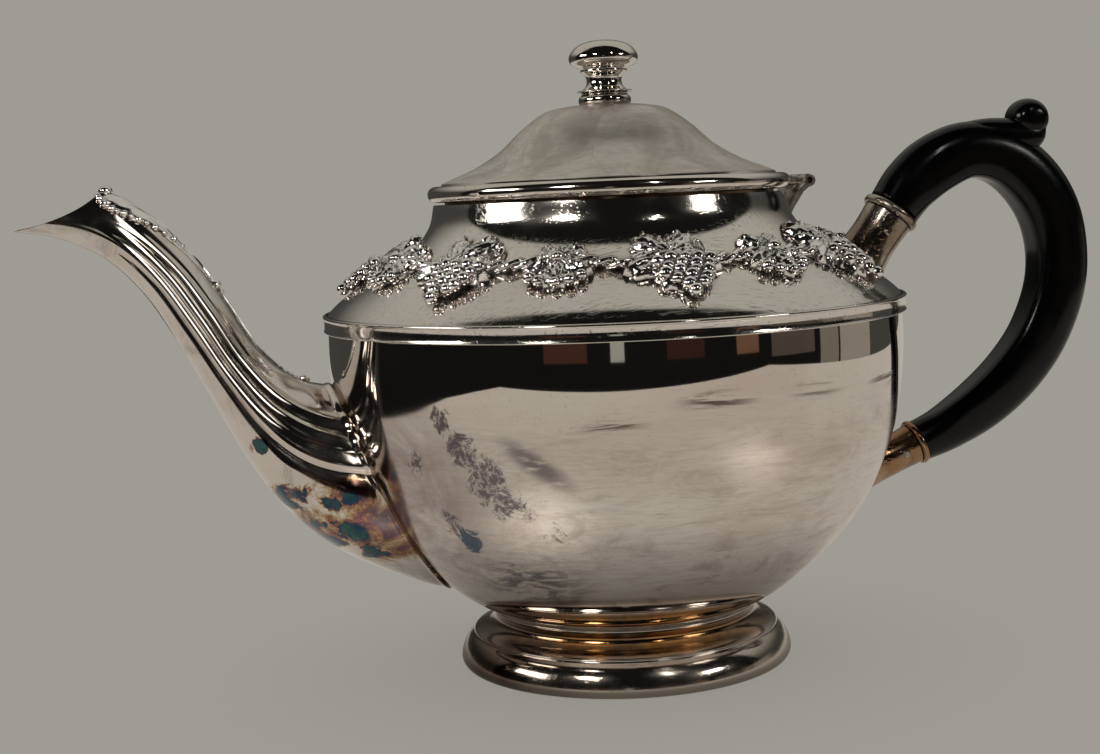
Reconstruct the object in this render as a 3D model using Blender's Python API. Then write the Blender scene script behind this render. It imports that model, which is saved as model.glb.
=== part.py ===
"""Silver-plated teapot with a hinged lid and a black scroll handle, built piece by piece.

Lengths in this file are millimetres; each mesh is turned into metres as it is made.
Frame: +Z up, foot on Z = 0, spout towards -X, handle towards +X, hinge pin along Y.
Shapes are drawn about the pot's own turning axis, then moved so that the whole
teapot is centred over the origin.
"""

import math

import bmesh
import bpy
from mathutils import Vector

MM = 0.001
GAP = 0.3                     # solder and seating gap between two pieces

# Driving dimensions
BOWL_R = 73.6                 # outside radius of the bowl just under the rim
BOWL_TOP = 91.6
BOWL_WALL = 1.2
NECK_R = 45.2                 # outside radius at the top of the neck
NECK_TOP = 119.9
FOOT_R = 43.4
FOOT_NECK_R = 34.0
LID_R = 46.6
LID_BASE = 120.5              # underside of the lid's rolled edge
LID_WALL = 1.0
KNOB_BASE = 146.1
KNOB_TOP = 160.1
SPOUT_REACH = 147.4           # pot axis to the pouring lip
HANDLE_REACH = 135.8          # pot axis to the back of the handle
SPOUT_WALL = 1.2
HINGE_X = 52.2
HINGE_Z = 122.3
KNUCKLE_R = 1.7
PIN_R = 0.8
PIN_BORE_R = 0.9
HINGE_HALF_WIDTH = 8.0
VINE_SECTIONS = 7
VINE_R = 60.0                 # radius of the vine's stem on the shoulder
VINE_FIRST_DEG = -91.0        # bearing of one big leaf, from +X towards +Y

TURN_STEPS = 36               # facets round the large turned pieces
SMALL_STEPS = 16
SHIFT_X = (SPOUT_REACH - HANDLE_REACH) / 2


# ---------------------------------------------------------------- outlines

def smooth(points, per_span):
    """Catmull-Rom curve through the points, per_span steps in each span."""
    points = [Vector(p) for p in points]
    before = points[0] * 2 - points[1]
    after = points[-1] * 2 - points[-2]
    line = [before, *points, after]
    curve = []
    for i in range(1, len(line) - 2):
        a, b, c, d = line[i - 1:i + 3]
        for step in range(per_span):
            t = step / per_span
            linear = (c - a) * t
            square = (a * 2 - b * 5 + c * 4 - d) * t * t
            cube = (b * 3 - a - c * 3 + d) * t ** 3
            curve.append(b + (linear + square + cube) / 2)
    curve.append(points[-1].copy())
    return curve


def offset(line, distance):
    """The line moved sideways to its right by distance, point by point."""
    moved = []
    for i, point in enumerate(line):
        here = line[min(i + 1, len(line) - 1)] - line[max(i - 1, 0)]
        here.normalize()
        moved.append(point + Vector((here.y, -here.x)) * distance)
    return moved


def arc(centre, radius, start_deg, end_deg, count):
    """Points on a circular arc, both ends included."""
    points = []
    for i in range(count):
        angle = math.radians(start_deg + (end_deg - start_deg) * i / (count - 1))
        points.append(Vector(centre) + Vector((math.cos(angle), math.sin(angle))) * radius)
    return points


BOWL_OUTLINE = smooth(
    [(0, 12.6), (22, 12.8), (34.6, 15), (47.8, 23.5), (62.4, 39.4), (71.6, 61.5), (BOWL_R, BOWL_TOP)], 2
)
SHOULDER_OUTLINE = [Vector((73.4, 92.0)), *smooth(
    [(73.4, 93.3), (68, 96.9), (57.5, 104.3), (50.4, 109.5), (46.6, 114.4), (NECK_R, NECK_TOP)], 1
)]


def shoulder_height(radius):
    """Height of the shoulder's outside at a radius on its sloping part."""
    slope = (96.9 - 109.5) / (68 - 50.4)
    return 96.9 + (radius - 68) * slope


# ------------------------------------------------------------ mesh building

def material(name, colour, metallic, roughness):
    """A Principled material."""
    made = bpy.data.materials.new(name)
    made.use_nodes = True
    shader = made.node_tree.nodes["Principled BSDF"]
    shader.inputs["Base Color"].default_value = (*colour, 1)
    shader.inputs["Metallic"].default_value = metallic
    shader.inputs["Roughness"].default_value = roughness
    return made


def piece(name, mesh_edit, finish):
    """A named object from a bmesh in millimetres, centred over the origin."""
    bmesh.ops.remove_doubles(mesh_edit, verts=mesh_edit.verts, dist=0.001)
    bmesh.ops.recalc_face_normals(mesh_edit, faces=mesh_edit.faces)
    bmesh.ops.scale(mesh_edit, vec=(MM, MM, MM), verts=mesh_edit.verts)
    bmesh.ops.translate(mesh_edit, vec=(SHIFT_X * MM, 0, 0), verts=mesh_edit.verts)
    mesh = bpy.data.meshes.new(name)
    mesh_edit.to_mesh(mesh)
    mesh_edit.free()
    mesh.shade_smooth()
    mesh.set_sharp_from_angle(angle=math.radians(35))
    mesh.materials.append(finish)
    made = bpy.data.objects.new(name, mesh)
    bpy.context.scene.collection.objects.link(made)
    return made


def tool(name, mesh_edit):
    """An object used only to cut or to join; it isn't a piece of the teapot."""
    made = piece(name, mesh_edit, bpy.data.materials["tool"])
    made.hide_render = True
    made.display_type = "WIRE"
    return made


def boolean(target, other, operation="DIFFERENCE"):
    """Cut target by other, or join other to it."""
    step = target.modifiers.new(other.name, "BOOLEAN")
    step.object = other
    step.operation = operation


def turned(outline, steps=TURN_STEPS):
    """A bmesh from a closed outline of (radius, height) points spun about Z."""
    made = bmesh.new()
    verts = [made.verts.new((p[0], 0, p[1])) for p in outline]
    edges = []
    for start, end in zip(verts, verts[1:] + verts[:1]):
        if start.co.x + end.co.x > 0:
            edges.append(made.edges.new((start, end)))
    bmesh.ops.spin(
        made, geom=verts + edges, cent=(0, 0, 0), axis=(0, 0, 1), angle=math.tau, steps=steps,
        use_merge=True
    )
    bmesh.ops.remove_doubles(made, verts=made.verts, dist=0.001)
    return made


def lofted(rings):
    """A bmesh skinned over closed rings of points, with both ends filled."""
    made = bmesh.new()
    rows = [[made.verts.new(p) for p in ring] for ring in rings]
    count = len(rows[0])
    for lower, upper in zip(rows, rows[1:]):
        for i in range(count):
            made.faces.new((lower[i - 1], lower[i], upper[i], upper[i - 1]))
    made.faces.new(reversed(rows[0]))
    made.faces.new(rows[-1])
    return made


def tube_rings(path, half_height, half_width, sides):
    """Elliptical rings square to a path in the XZ plane; sizes are per path point."""
    rings = []
    for i, (x, z) in enumerate(path):
        nearby = Vector(path[min(i + 1, len(path) - 1)]) - Vector(path[max(i - 1, 0)])
        nearby.normalize()
        up = Vector((-nearby.y, 0, nearby.x))
        ring = []
        for side in range(sides):
            angle = math.tau * side / sides
            across = Vector((0, math.sin(angle) * half_width[i], 0))
            ring.append(Vector((x, 0, z)) + up * math.cos(angle) * half_height[i] + across)
        rings.append(ring)
    return rings


def rod(start, end, radius, sides=SMALL_STEPS):
    """A bmesh of a round rod between two points."""
    start = Vector(start)
    end = Vector(end)
    along = (end - start).normalized()
    across = along.orthogonal().normalized()
    over = along.cross(across)
    rings = []
    for middle in (start, end):
        turn = [math.tau * side / sides for side in range(sides)]
        rings.append([middle + (across * math.cos(a) + over * math.sin(a)) * radius for a in turn])
    return lofted(rings)


def merged(parts):
    """One bmesh holding several separate solids."""
    whole = bmesh.new()
    for part in parts:
        scratch = bpy.data.meshes.new("scratch")
        part.to_mesh(scratch)
        part.free()
        whole.from_mesh(scratch)
        bpy.data.meshes.remove(scratch)
    return whole


# ------------------------------------------------------------------- the pot

def bowl_solid(grow):
    """The bowl as a filled solid, its outside moved out by grow."""
    outside = offset(BOWL_OUTLINE, grow)
    outside[0].x = 0
    return turned([*outside, Vector((outside[-1].x, BOWL_TOP + 30)), Vector((0, BOWL_TOP + 30))])


def shoulder_solid(grow):
    """Everything under the shoulder's outside as a filled solid, moved out by grow."""
    outside = offset(SHOULDER_OUTLINE, grow)
    return turned([Vector((0, 60)), Vector((outside[0].x, 60)), *outside, Vector((0, outside[-1].y))])


def make_bowl(finish):
    """Spun bowl with straining holes through its wall behind the spout."""
    inside = offset(BOWL_OUTLINE, -BOWL_WALL)
    inside[0].x = 0
    inside[-1].y = BOWL_TOP
    bowl = piece("bowl", turned([*BOWL_OUTLINE, *reversed(inside)]), finish)
    hole_rows = (2, 3, 4, 3, 2)
    hole_pitch = 6.0
    holes = []
    for row, count in enumerate(hole_rows):
        height = 55 + (row - (len(hole_rows) - 1) / 2) * hole_pitch
        for column in range(count):
            across = (column - (count - 1) / 2) * hole_pitch
            holes.append(rod((-BOWL_R - 4, across, height), (-BOWL_R + 18, across, height), 1.5, 8))
    boolean(bowl, tool("strainer_holes", merged(holes)))


def make_shoulder(finish):
    """Spun shoulder that sweeps up into the neck."""
    inside = offset(SHOULDER_OUTLINE, -BOWL_WALL)
    inside[0].y = SHOULDER_OUTLINE[0].y
    inside[-1].y = NECK_TOP
    piece("shoulder", turned([*SHOULDER_OUTLINE, *reversed(inside)]), finish)


def make_rim_moulding(finish):
    """Applied band that covers the seam between bowl and shoulder."""
    inner = BOWL_R + 0.35
    outline = [(inner, 89), (74.6, 89), (75, 89.6), (74.6, 90.2), (74.5, 92.7), (74.1, 93.3), (inner, 93.3)]
    piece("rim_moulding", turned(outline), finish)


def make_foot(finish, bowl_cutter):
    """Hollow pedestal foot, open underneath, with a flat turned-in bottom edge."""
    outline = [
        (FOOT_NECK_R, 17), (34.6, 14.4), (FOOT_NECK_R, 13.2), (34.5, 11.4), (38.4, 9.1), (39.6, 8.7),
        (40.4, 7.8), (42.0, 6.1), (43.0, 4.4), (FOOT_R, 2.4), (42.8, 0),
        (40.6, 0), (40.6, 1.2), (41.8, 2.6), (40.6, 5.5), (38.8, 7.3), (33.8, 9.8), (32.6, 12.4),
        (32.6, 17),
    ]
    boolean(piece("foot", turned(outline), finish), bowl_cutter)


# ------------------------------------------------------------------ the spout

# top edge, bottom edge (x, z) and half width of the spout from lip to root
SPOUT_STATIONS = (
    ((-126.2, 126.8), (-SPOUT_REACH, 118.0), 5.6),
    ((-121.5, 124.0), (-137.5, 116.3), 6.6),
    ((-114.5, 119.0), (-127.0, 111.0), 7.2),
    ((-106.0, 109.5), (-118.5, 102.3), 8.0),
    ((-98.5, 98.5), (-111.0, 89.8), 9.2),
    ((-91.0, 86.0), (-104.2, 76.5), 11.0),
    ((-84.0, 79.5), (-96.6, 61.0), 14.5),
    ((-77.0, 77.0), (-87.0, 46.5), 20.0),
    ((-68.0, 76.0), (-74.0, 34.8), 23.0),
    ((-58.0, 75.0), (-57.0, 26.2), 21.0),
    ((-46.0, 70.0), (-46.0, 22.4), 14.0),
)
SPOUT_ARC_POINTS = 9


def spout_stations():
    """Top point, bottom point and half width along the spout, smoothed."""
    tops = smooth([s[0] for s in SPOUT_STATIONS], 2)
    bottoms = smooth([s[1] for s in SPOUT_STATIONS], 2)
    widths = smooth([(s[2], 0) for s in SPOUT_STATIONS], 2)
    return [(top, bottom, width.x) for top, bottom, width in zip(tops, bottoms, widths)]


def spout_half_ring(top, bottom, half_width, wall, side):
    """Closed C-shaped ring: down the outside of one half, back up its inside."""
    middle = (top + bottom) / 2
    half_height = (top - bottom).length / 2
    up = (top - bottom).normalized()
    ring = []
    for inset in (0, wall):
        row = []
        for i in range(SPOUT_ARC_POINTS):
            angle = math.pi * i / (SPOUT_ARC_POINTS - 1)
            sag = 0.18 * math.sin(angle) ** 2
            along = (math.cos(angle) - sag) * (half_height - inset)
            across = max(math.sin(angle) * (half_width - inset), GAP / 2)
            row.append(Vector((middle.x + up.x * along, side * across, middle.y + up.y * along)))
        ring += row if inset == 0 else row[::-1]
    return ring


def make_spout(finish, bowl_cutter):
    """Two struck halves, soldered along the middle plane and cut to the bowl."""
    for name, side in (("spout_near_half", -1), ("spout_far_half", 1)):
        rings = [spout_half_ring(*station, SPOUT_WALL, side) for station in spout_stations()]
        half = piece(name, lofted(rings), finish)
        boolean(half, bowl_cutter)


def make_spout_leaf(finish):
    """Cast leaf laid along the top of the spout behind its lip."""
    ridge = smooth([s[0] for s in SPOUT_STATIONS[:5]], 4)
    half_widths = (1.2, 2.6, 3.6, 4.2, 4.6, 4.8, 4.8, 4.6, 4.2, 3.8, 3.4, 2.8, 2.0, 1.0)
    rings = []
    for i, half_width in enumerate(half_widths):
        along = ridge[i + 2] - ridge[i]
        along.normalize()
        up = Vector((-along.y, 0, along.x))
        base = Vector((ridge[i + 1].x, 0, ridge[i + 1].y))
        crown = 1.5 if i % 3 else 1.9
        ring = []
        for across, lift in ((-1, 0.0), (0, 0.0), (1, 0.0), (0.6, 0.7), (0, 1), (-0.6, 0.7)):
            drop = 0.42 * (across * half_width) ** 2 / 6.5
            rise = 0.35 - drop + (crown * lift if lift else 0)
            ring.append(base + up * rise + Vector((0, across * half_width, 0)))
        rings.append(ring)
    return piece("spout_leaf", lofted(rings), finish)


# ----------------------------------------------------------------- the handle

# middle line (x, z), half height in the handle's plane, half width across it
HANDLE_STATIONS = (
    ((79.4, 114.0), 7.1, 6.9),
    ((84.3, 120.3), 7.5, 6.8),
    ((91.2, 125.4), 7.8, 6.6),
    ((100.5, 128.6), 7.6, 6.4),
    ((110.5, 126.9), 7.8, 6.3),
    ((119.3, 120.4), 8.1, 6.3),
    ((125.4, 111.0), 8.2, 6.3),
    ((127.8, 99.5), 8.0, 6.3),
    ((126.6, 88.5), 8.0, 6.2),
    ((121.4, 76.5), 7.8, 6.2),
    ((113.6, 66.8), 7.6, 6.1),
    ((104.0, 59.0), 7.1, 6.0),
    ((93.5, 53.2), 6.2, 5.6),
    ((84.6, 50.0), 5.7, 5.5),
)
UPPER_MOUTH = Vector((77.3, 111.5))
UPPER_FOOT = Vector((66.8, 97.7))
UPPER_TUBE_R = 6.9
LOWER_MOUTH = Vector((83.0, 49.4))
LOWER_FOOT = Vector((62.0, 40.6))
LOWER_TUBE_R = 5.5
TUBE_WALL = 1.0
TENON_DEPTH = 8.0
SCROLL_CENTRE = (118.9, 135.9)
SCROLL_R = 5.9


def along_tube(mouth, foot, distance):
    """A point on a socket's middle line, distance inside its mouth."""
    return mouth + (foot - mouth).normalized() * distance


def handle_body(grow=0.0):
    """The scroll handle's bar with a round tenon at each end."""
    path = smooth([s[0] for s in HANDLE_STATIONS], 2)
    sizes = smooth([(s[1], s[2]) for s in HANDLE_STATIONS], 2)
    heights = [s.x + grow for s in sizes]
    widths = [s.y + grow for s in sizes]
    upper_r = UPPER_TUBE_R - TUBE_WALL - GAP
    lower_r = LOWER_TUBE_R - TUBE_WALL - GAP
    face_upper = along_tube(UPPER_MOUTH, UPPER_FOOT, -2.8)
    face_lower = along_tube(LOWER_MOUTH, LOWER_FOOT, -2.2)
    path = [along_tube(UPPER_MOUTH, UPPER_FOOT, TENON_DEPTH), face_upper, face_upper, *path[1:-1],
            face_lower, face_lower, along_tube(LOWER_MOUTH, LOWER_FOOT, TENON_DEPTH)]
    heights = [upper_r, upper_r, 7.0, *heights[1:-1], 5.6, lower_r, lower_r]
    widths = [upper_r, upper_r, 6.9, *widths[1:-1], 5.5, lower_r, lower_r]
    rings = tube_rings(path, heights, widths, 12)
    square_up(rings, 1, UPPER_MOUTH, UPPER_FOOT, upper_r, upper_r)
    square_up(rings, 2, UPPER_MOUTH, UPPER_FOOT, 7.0, 6.9)
    square_up(rings, len(rings) - 3, LOWER_FOOT, LOWER_MOUTH, 5.6, 5.5)
    square_up(rings, len(rings) - 2, LOWER_FOOT, LOWER_MOUTH, lower_r, lower_r)
    return lofted(rings)


def square_up(rings, index, start, end, half_height, half_width):
    """Set one ring square to a socket's middle line."""
    outward = (start - end).normalized()
    up = Vector((-outward.y, 0, outward.x))
    middle = sum(rings[index], Vector()) / len(rings[index])
    for i, point in enumerate(rings[index]):
        angle = math.tau * i / len(rings[index])
        across = Vector((0, math.sin(angle) * half_width, 0))
        point.xyz = middle + up * math.cos(angle) * half_height + across


def make_handle(finish):
    """Black scroll handle with a thumb scroll on top, drilled for its two pins."""
    handle = piece("handle", handle_body(), finish)
    x, z = SCROLL_CENTRE
    scroll_rings = []
    for across, radius in ((-5.4, 4.3), (-4.2, SCROLL_R), (4.2, SCROLL_R), (5.4, 4.3)):
        turn = [math.tau * i / 14 for i in range(14)]
        ring = [Vector((x + math.cos(a) * radius, across, z + math.sin(a) * radius)) for a in turn]
        scroll_rings.append(ring)
    boolean(handle, tool("thumb_scroll", lofted(scroll_rings)), "UNION")
    for name, pin, radius in handle_pins():
        way = rod((pin.x, -12, pin.y), (pin.x, 12, pin.y), radius + GAP, 8)
        boolean(handle, tool(name + "_way", way))


def handle_pins():
    """Name, place and radius of the two cross pins."""
    upper = along_tube(UPPER_MOUTH, UPPER_FOOT, 4.6)
    lower = along_tube(LOWER_MOUTH, LOWER_FOOT, 4.2)
    return (("handle_pin_upper", upper, 1.0), ("handle_pin_lower", lower, 1.0))


def make_handle_pins(finish):
    """Plain pins pressed through socket and tenon."""
    for (name, pin, radius), reach in zip(handle_pins(), (UPPER_TUBE_R, LOWER_TUBE_R)):
        piece(name, rod((pin.x, -reach - 0.1, pin.y), (pin.x, reach + 0.1, pin.y), radius, 8), finish)


def socket_rings(mouth, foot, radius, sides=SMALL_STEPS):
    """Round rings for a socket tube from its mouth to past its foot."""
    count = 5
    path = [mouth.lerp(foot, i / (count - 1)) for i in range(count)]
    return tube_rings(path, [radius] * count, [radius] * count, sides)


def make_socket(name, mouth, foot, radius, pot_cutter, finish):
    """Open tube that holds one end of the handle."""
    tube = piece(name, lofted(socket_rings(mouth, foot, radius)), finish)
    inner = radius - TUBE_WALL
    beyond = mouth + (mouth - foot).normalized() * 5
    deeper = foot + (foot - mouth).normalized() * 12
    boolean(tube, tool(name + "_bore", lofted(socket_rings(beyond, deeper, inner))))
    boolean(tube, pot_cutter)
    _, pin, pin_radius = handle_pins()[0 if name == "upper_socket" else 1]
    way = rod((pin.x, -15, pin.y), (pin.x, 15, pin.y), pin_radius + GAP, 8)
    boolean(tube, tool(name + "_pin_hole", way))


def make_socket_ring(name, mouth, foot, tube_radius, length, finish):
    """Raised bead at a socket's mouth, drawn about the socket's middle line."""
    axis = (mouth - foot).normalized()
    up = Vector((-axis.y, 0, axis.x))
    start = Vector((mouth.x, 0, mouth.y)) + Vector((axis.x, 0, axis.y)) * 0.3
    inner = tube_radius - TUBE_WALL
    shoulder = tube_radius + 0.4
    crest = tube_radius + 0.9
    section = [(inner, 0), (shoulder, 0), (crest, 0.3 * length),
               (crest, 0.7 * length), (shoulder, length), (inner, length)]
    made = bmesh.new()
    rows = []
    for side in range(SMALL_STEPS):
        angle = math.tau * side / SMALL_STEPS
        out = up * math.cos(angle) + Vector((0, math.sin(angle), 0))
        rows.append([made.verts.new(start + out * r + Vector((axis.x, 0, axis.y)) * h) for r, h in section])
    for side in range(SMALL_STEPS):
        here = rows[side - 1]
        there = rows[side]
        for i in range(len(section)):
            made.faces.new((here[i - 1], here[i], there[i], there[i - 1]))
    return piece(name, made, finish)


# ------------------------------------------------- applied work on the shoulder

def on_shoulder(around, down, proud):
    """A point given round the vine's circle, down the slope and proud of the surface."""
    slope = math.atan((109.5 - 96.9) / (68 - 50.4))
    radius = VINE_R + down * math.cos(slope) + proud * math.sin(slope)
    height = shoulder_height(VINE_R) - down * math.sin(slope) + proud * math.cos(slope)
    bearing = around / VINE_R
    return Vector((radius * math.cos(bearing), radius * math.sin(bearing), height))


def leaf_plate(around, down, reach, lobes, thickness=1.5):
    """A lobed leaf bent to the shoulder."""
    count = lobes * 2
    rim = []
    for i in range(count):
        angle = math.tau * i / count + math.pi / 2
        radius = reach * (0.68 if i % 2 else 1)
        rim.append((around + math.cos(angle) * radius, down + math.sin(angle) * radius))
    made = bmesh.new()
    lower = [made.verts.new(on_shoulder(a, d, 0.5)) for a, d in rim]
    upper = [made.verts.new(on_shoulder(a, d, 0.5 + thickness)) for a, d in rim]
    lower_hub = made.verts.new(on_shoulder(around, down, 0.5))
    upper_hub = made.verts.new(on_shoulder(around, down, 0.9 + thickness))
    for i in range(count):
        made.faces.new((lower[i - 1], lower[i], upper[i], upper[i - 1]))
        made.faces.new((lower[i], lower[i - 1], lower_hub))
        made.faces.new((upper[i - 1], upper[i], upper_hub))
    return made


def berry(around, down, proud, radius):
    """One grape."""
    made = bmesh.new()
    bmesh.ops.create_icosphere(made, subdivisions=1, radius=radius)
    bmesh.ops.translate(made, vec=on_shoulder(around, down, proud), verts=made.verts)
    return made


def vine_stem():
    """Wavy stem along one section of the vine."""
    half_span = math.pi * VINE_R / VINE_SECTIONS - GAP
    count = 13
    rings = []
    for i in range(count):
        share = i / (count - 1)
        around = -half_span + 2 * half_span * share
        down = 1.6 * math.sin(math.tau * share)
        ring = []
        for side in range(6):
            angle = math.tau * side / 6
            ring.append(on_shoulder(around, down + 1.5 * math.cos(angle), 1.8 + 1.3 * math.sin(angle)))
        rings.append(ring)
    return lofted(rings)


def make_vine(finish, socket_cutters):
    """Seven cast sections of vine, each with a grape leaf and bunch and a small leaf."""
    pitch = math.tau / VINE_SECTIONS
    quarter = pitch * VINE_R / 4
    first = math.radians(VINE_FIRST_DEG) + pitch / 4
    bunch = [(row, column) for row, count in enumerate((3, 2, 1)) for column in range(count)]
    for number in range(VINE_SECTIONS):
        bearing = (first + number * pitch + math.pi) % math.tau - math.pi
        by_handle = abs(bearing) < pitch / 2
        name = f"vine_section_{number + 1}"
        section = piece(name, vine_stem(), finish)
        extras = [leaf_plate(quarter, 0.5, 7.2, 5)]
        if not by_handle:
            extras.append(leaf_plate(-quarter, -2.5, 10.0, 5))
            for row, column in bunch:
                sideways = (column - (2 - row) / 2) * 4.2
                extras.append(berry(sideways - quarter, 1.4 + row * 3.5, 2.9, 2.65 - row * 0.23))
        for i, extra in enumerate(extras):
            boolean(section, turn_about_axis(tool(f"{name}_extra_{i}", extra), bearing), "UNION")
        turn_about_axis(section, bearing)
        if abs(bearing) < pitch:
            for cutter in socket_cutters:
                boolean(section, cutter)


def turn_about_axis(thing, angle):
    """Turn an object's mesh about the pot's axis."""
    centre = Vector((SHIFT_X * MM, 0, 0))
    for vert in thing.data.vertices:
        away = vert.co - centre
        x = away.x * math.cos(angle) - away.y * math.sin(angle)
        y = away.x * math.sin(angle) + away.y * math.cos(angle)
        vert.co = centre + Vector((x, y, away.z))
    return thing


def upper_plate_solid(grow):
    """The upper mounting plate as a full oval bent to the shoulder."""
    count = 20
    rings = []
    for proud in (0.4 - grow, 1.3 + grow):
        ring = []
        for i in range(count):
            angle = math.tau * i / count
            around = (10.0 + grow) * math.sin(angle)
            down = 8.2 + (7.8 + grow) * math.cos(angle)
            ring.append(on_shoulder(around, down, proud))
        rings.append(ring)
    return lofted(rings)


def upper_tube_solid(grow):
    """The upper socket's outside, carried on through the shoulder."""
    deeper = UPPER_FOOT + (UPPER_FOOT - UPPER_MOUTH).normalized() * 8
    return lofted(socket_rings(UPPER_MOUTH, deeper, UPPER_TUBE_R + grow))


def make_upper_plate(finish, tube_cutter):
    """Oval mounting plate between the upper socket and the shoulder."""
    boolean(piece("upper_socket_plate", upper_plate_solid(0), finish), tube_cutter)


def make_lower_drop(finish, bowl_cutter):
    """Pointed tongue that hangs from the root of the lower socket."""
    path = smooth([(70.6, 37.8), (66.2, 34.5), (64.6, 30.5), (64.2, 26.5), (62.4, 24.2)], 2)
    count = len(path)
    widths = [5.0 - 3.9 * i / (count - 1) for i in range(count)]
    heights = [1.5 - 0.7 * i / (count - 1) for i in range(count)]
    tongue = piece("lower_socket_drop", lofted(tube_rings(path, heights, widths, 8)), finish)
    boolean(tongue, bowl_cutter)
    boolean(tongue, tool("drop_way", lofted(socket_rings(LOWER_MOUTH, LOWER_FOOT, LOWER_TUBE_R + GAP))))


# ------------------------------------------------------------------ the hinge

def knuckle(low_y, high_y):
    """Solid of one hinge knuckle about the pin."""
    return rod((HINGE_X, low_y, HINGE_Z), (HINGE_X, high_y, HINGE_Z), KNUCKLE_R)


def prism(outline, low_y, high_y):
    """A bmesh of an XZ outline drawn across in Y."""
    return lofted([[Vector((x, y, z)) for x, z in outline] for y in (low_y, high_y)])


def make_hinge(body_finish, pin_finish, neck_cutter):
    """Fixed leaf with two knuckles, lid leaf with one, and the pin."""
    wide = HINGE_HALF_WIDTH
    inner = 2.6
    strap = [(49.2, 120.0), (50.2, 119.2), (46.4, 113.4), (44.4, 113.4), (44.8, 116.0)]
    link = [(51.2, 122.2), (52.6, 121.4), (50.2, 119.2), (49.2, 120.0)]
    fixed = piece("hinge_leaf_body", prism(strap, -wide, wide), body_finish)
    for side, (low, high) in enumerate(((-wide, -inner - GAP), (inner + GAP, wide))):
        boolean(fixed, tool(f"fixed_link_{side}", prism(link, low, high)), "UNION")
        boolean(fixed, tool(f"fixed_knuckle_{side}", knuckle(low, high)), "UNION")
    moving = piece("hinge_leaf_lid", knuckle(-inner, inner), body_finish)
    tongue = [(44.0, 122.0), (51.4, 122.0), (51.4, 123.2), (44.0, 123.2)]
    tail = [(44.0, 122.0), (49.0, 122.0), (49.0, 123.2), (44.0, 123.2)]
    boolean(moving, tool("lid_tongue", prism(tongue, -inner, inner)), "UNION")
    boolean(moving, tool("lid_tail", prism(tail, -wide + 1, wide - 1)), "UNION")
    bore = tool("pin_bore", rod((HINGE_X, -20, HINGE_Z), (HINGE_X, 20, HINGE_Z), PIN_BORE_R))
    lid_edge = tool("lid_edge_way", turned([(0, 110), (LID_R + GAP, 110), (LID_R + GAP, 130), (0, 130)]))
    boolean(fixed, neck_cutter)
    boolean(fixed, bore)
    boolean(moving, lid_edge)
    boolean(moving, bore)
    reach = wide - 0.6
    pin = piece("hinge_pin", rod((HINGE_X, -reach, HINGE_Z), (HINGE_X, reach, HINGE_Z), PIN_R), pin_finish)
    return moving, pin


# -------------------------------------------------------------------- the lid

LID_OUTLINE = smooth(
    [(2.2, 145.8), (9, 145.3), (16, 142.9), (22, 138.1), (27.5, 132.9), (34, 128.9), (40, 126.6),
     (43.6, 124.6)], 1
)


def make_lid(finish, knob_finish):
    """Domed lid with a rolled edge, its inner flange, and the screwed-on knob."""
    roll_r = 1.7
    roll_middle = (LID_R - roll_r, LID_BASE + roll_r)
    roll = arc(roll_middle, roll_r, 70, -180, 7)
    inside = offset(LID_OUTLINE, LID_WALL)
    inside[0].x = LID_OUTLINE[0].x
    shell = piece("lid_shell", turned([*LID_OUTLINE, *roll, *reversed(inside[:-1])]), finish)
    bezel_outline = [(41.4, 115.5), (42.3, 115.5), (42.3, 122.6), (41.4, 123.3)]
    bezel = piece("lid_bezel", turned(bezel_outline), finish)
    button = ((0, 0), (4, 0.5), (7.4, 2.1), (8.9, 4.6), (7.6, 6.2), (5.7, 7.3), (5, 8.2), (4.5, 10.4),
              (5.2, 12.2), (6.9, 13.2))
    knob_outline = [(radius, KNOB_TOP - below) for radius, below in button]
    knob_outline += [(6.9, KNOB_BASE), (1.7, KNOB_BASE), (1.7, 139.6), (0, 139.6)]
    knob = piece("lid_knob", turned(knob_outline, 20), knob_finish)
    washer_outline = [(2.1, 142.7), (5.6, 142.7), (5.6, 143.5), (2.1, 143.9)]
    washer = piece("knob_washer", turned(washer_outline, 20), finish)
    nut_shape = [(2.1, 140.2), (3.9, 140.2), (3.9, 142.3), (2.1, 142.3)]
    nut = piece("knob_nut", nut_bmesh(nut_shape), knob_finish)
    return shell, bezel, knob, washer, nut


def nut_bmesh(shape):
    """A hexagon nut with a round bore."""
    made = bmesh.new()
    inner_r, low = shape[0]
    outer_r, high = shape[2]
    steps = 18
    rows = []
    for step in range(steps):
        angle = math.tau * step / steps
        flat = outer_r * math.cos(math.pi / 6) / math.cos((angle % (math.pi / 3)) - math.pi / 6)
        corner = [(inner_r, low), (flat, low), (flat, high), (inner_r, high)]
        rows.append([made.verts.new((r * math.cos(angle), r * math.sin(angle), z)) for r, z in corner])
    for step in range(steps):
        here = rows[step - 1]
        there = rows[step]
        for i in range(4):
            made.faces.new((here[i - 1], here[i], there[i], there[i - 1]))
    return made


def hang_on_hinge(things):
    """Parent the lid's pieces to an empty on the hinge pin."""
    axis = bpy.data.objects.new("lid_hinge_axis", None)
    axis.location = ((HINGE_X + SHIFT_X) * MM, 0, HINGE_Z * MM)
    bpy.context.scene.collection.objects.link(axis)
    for thing in things:
        thing.parent = axis
        thing.location = -axis.location


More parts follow.
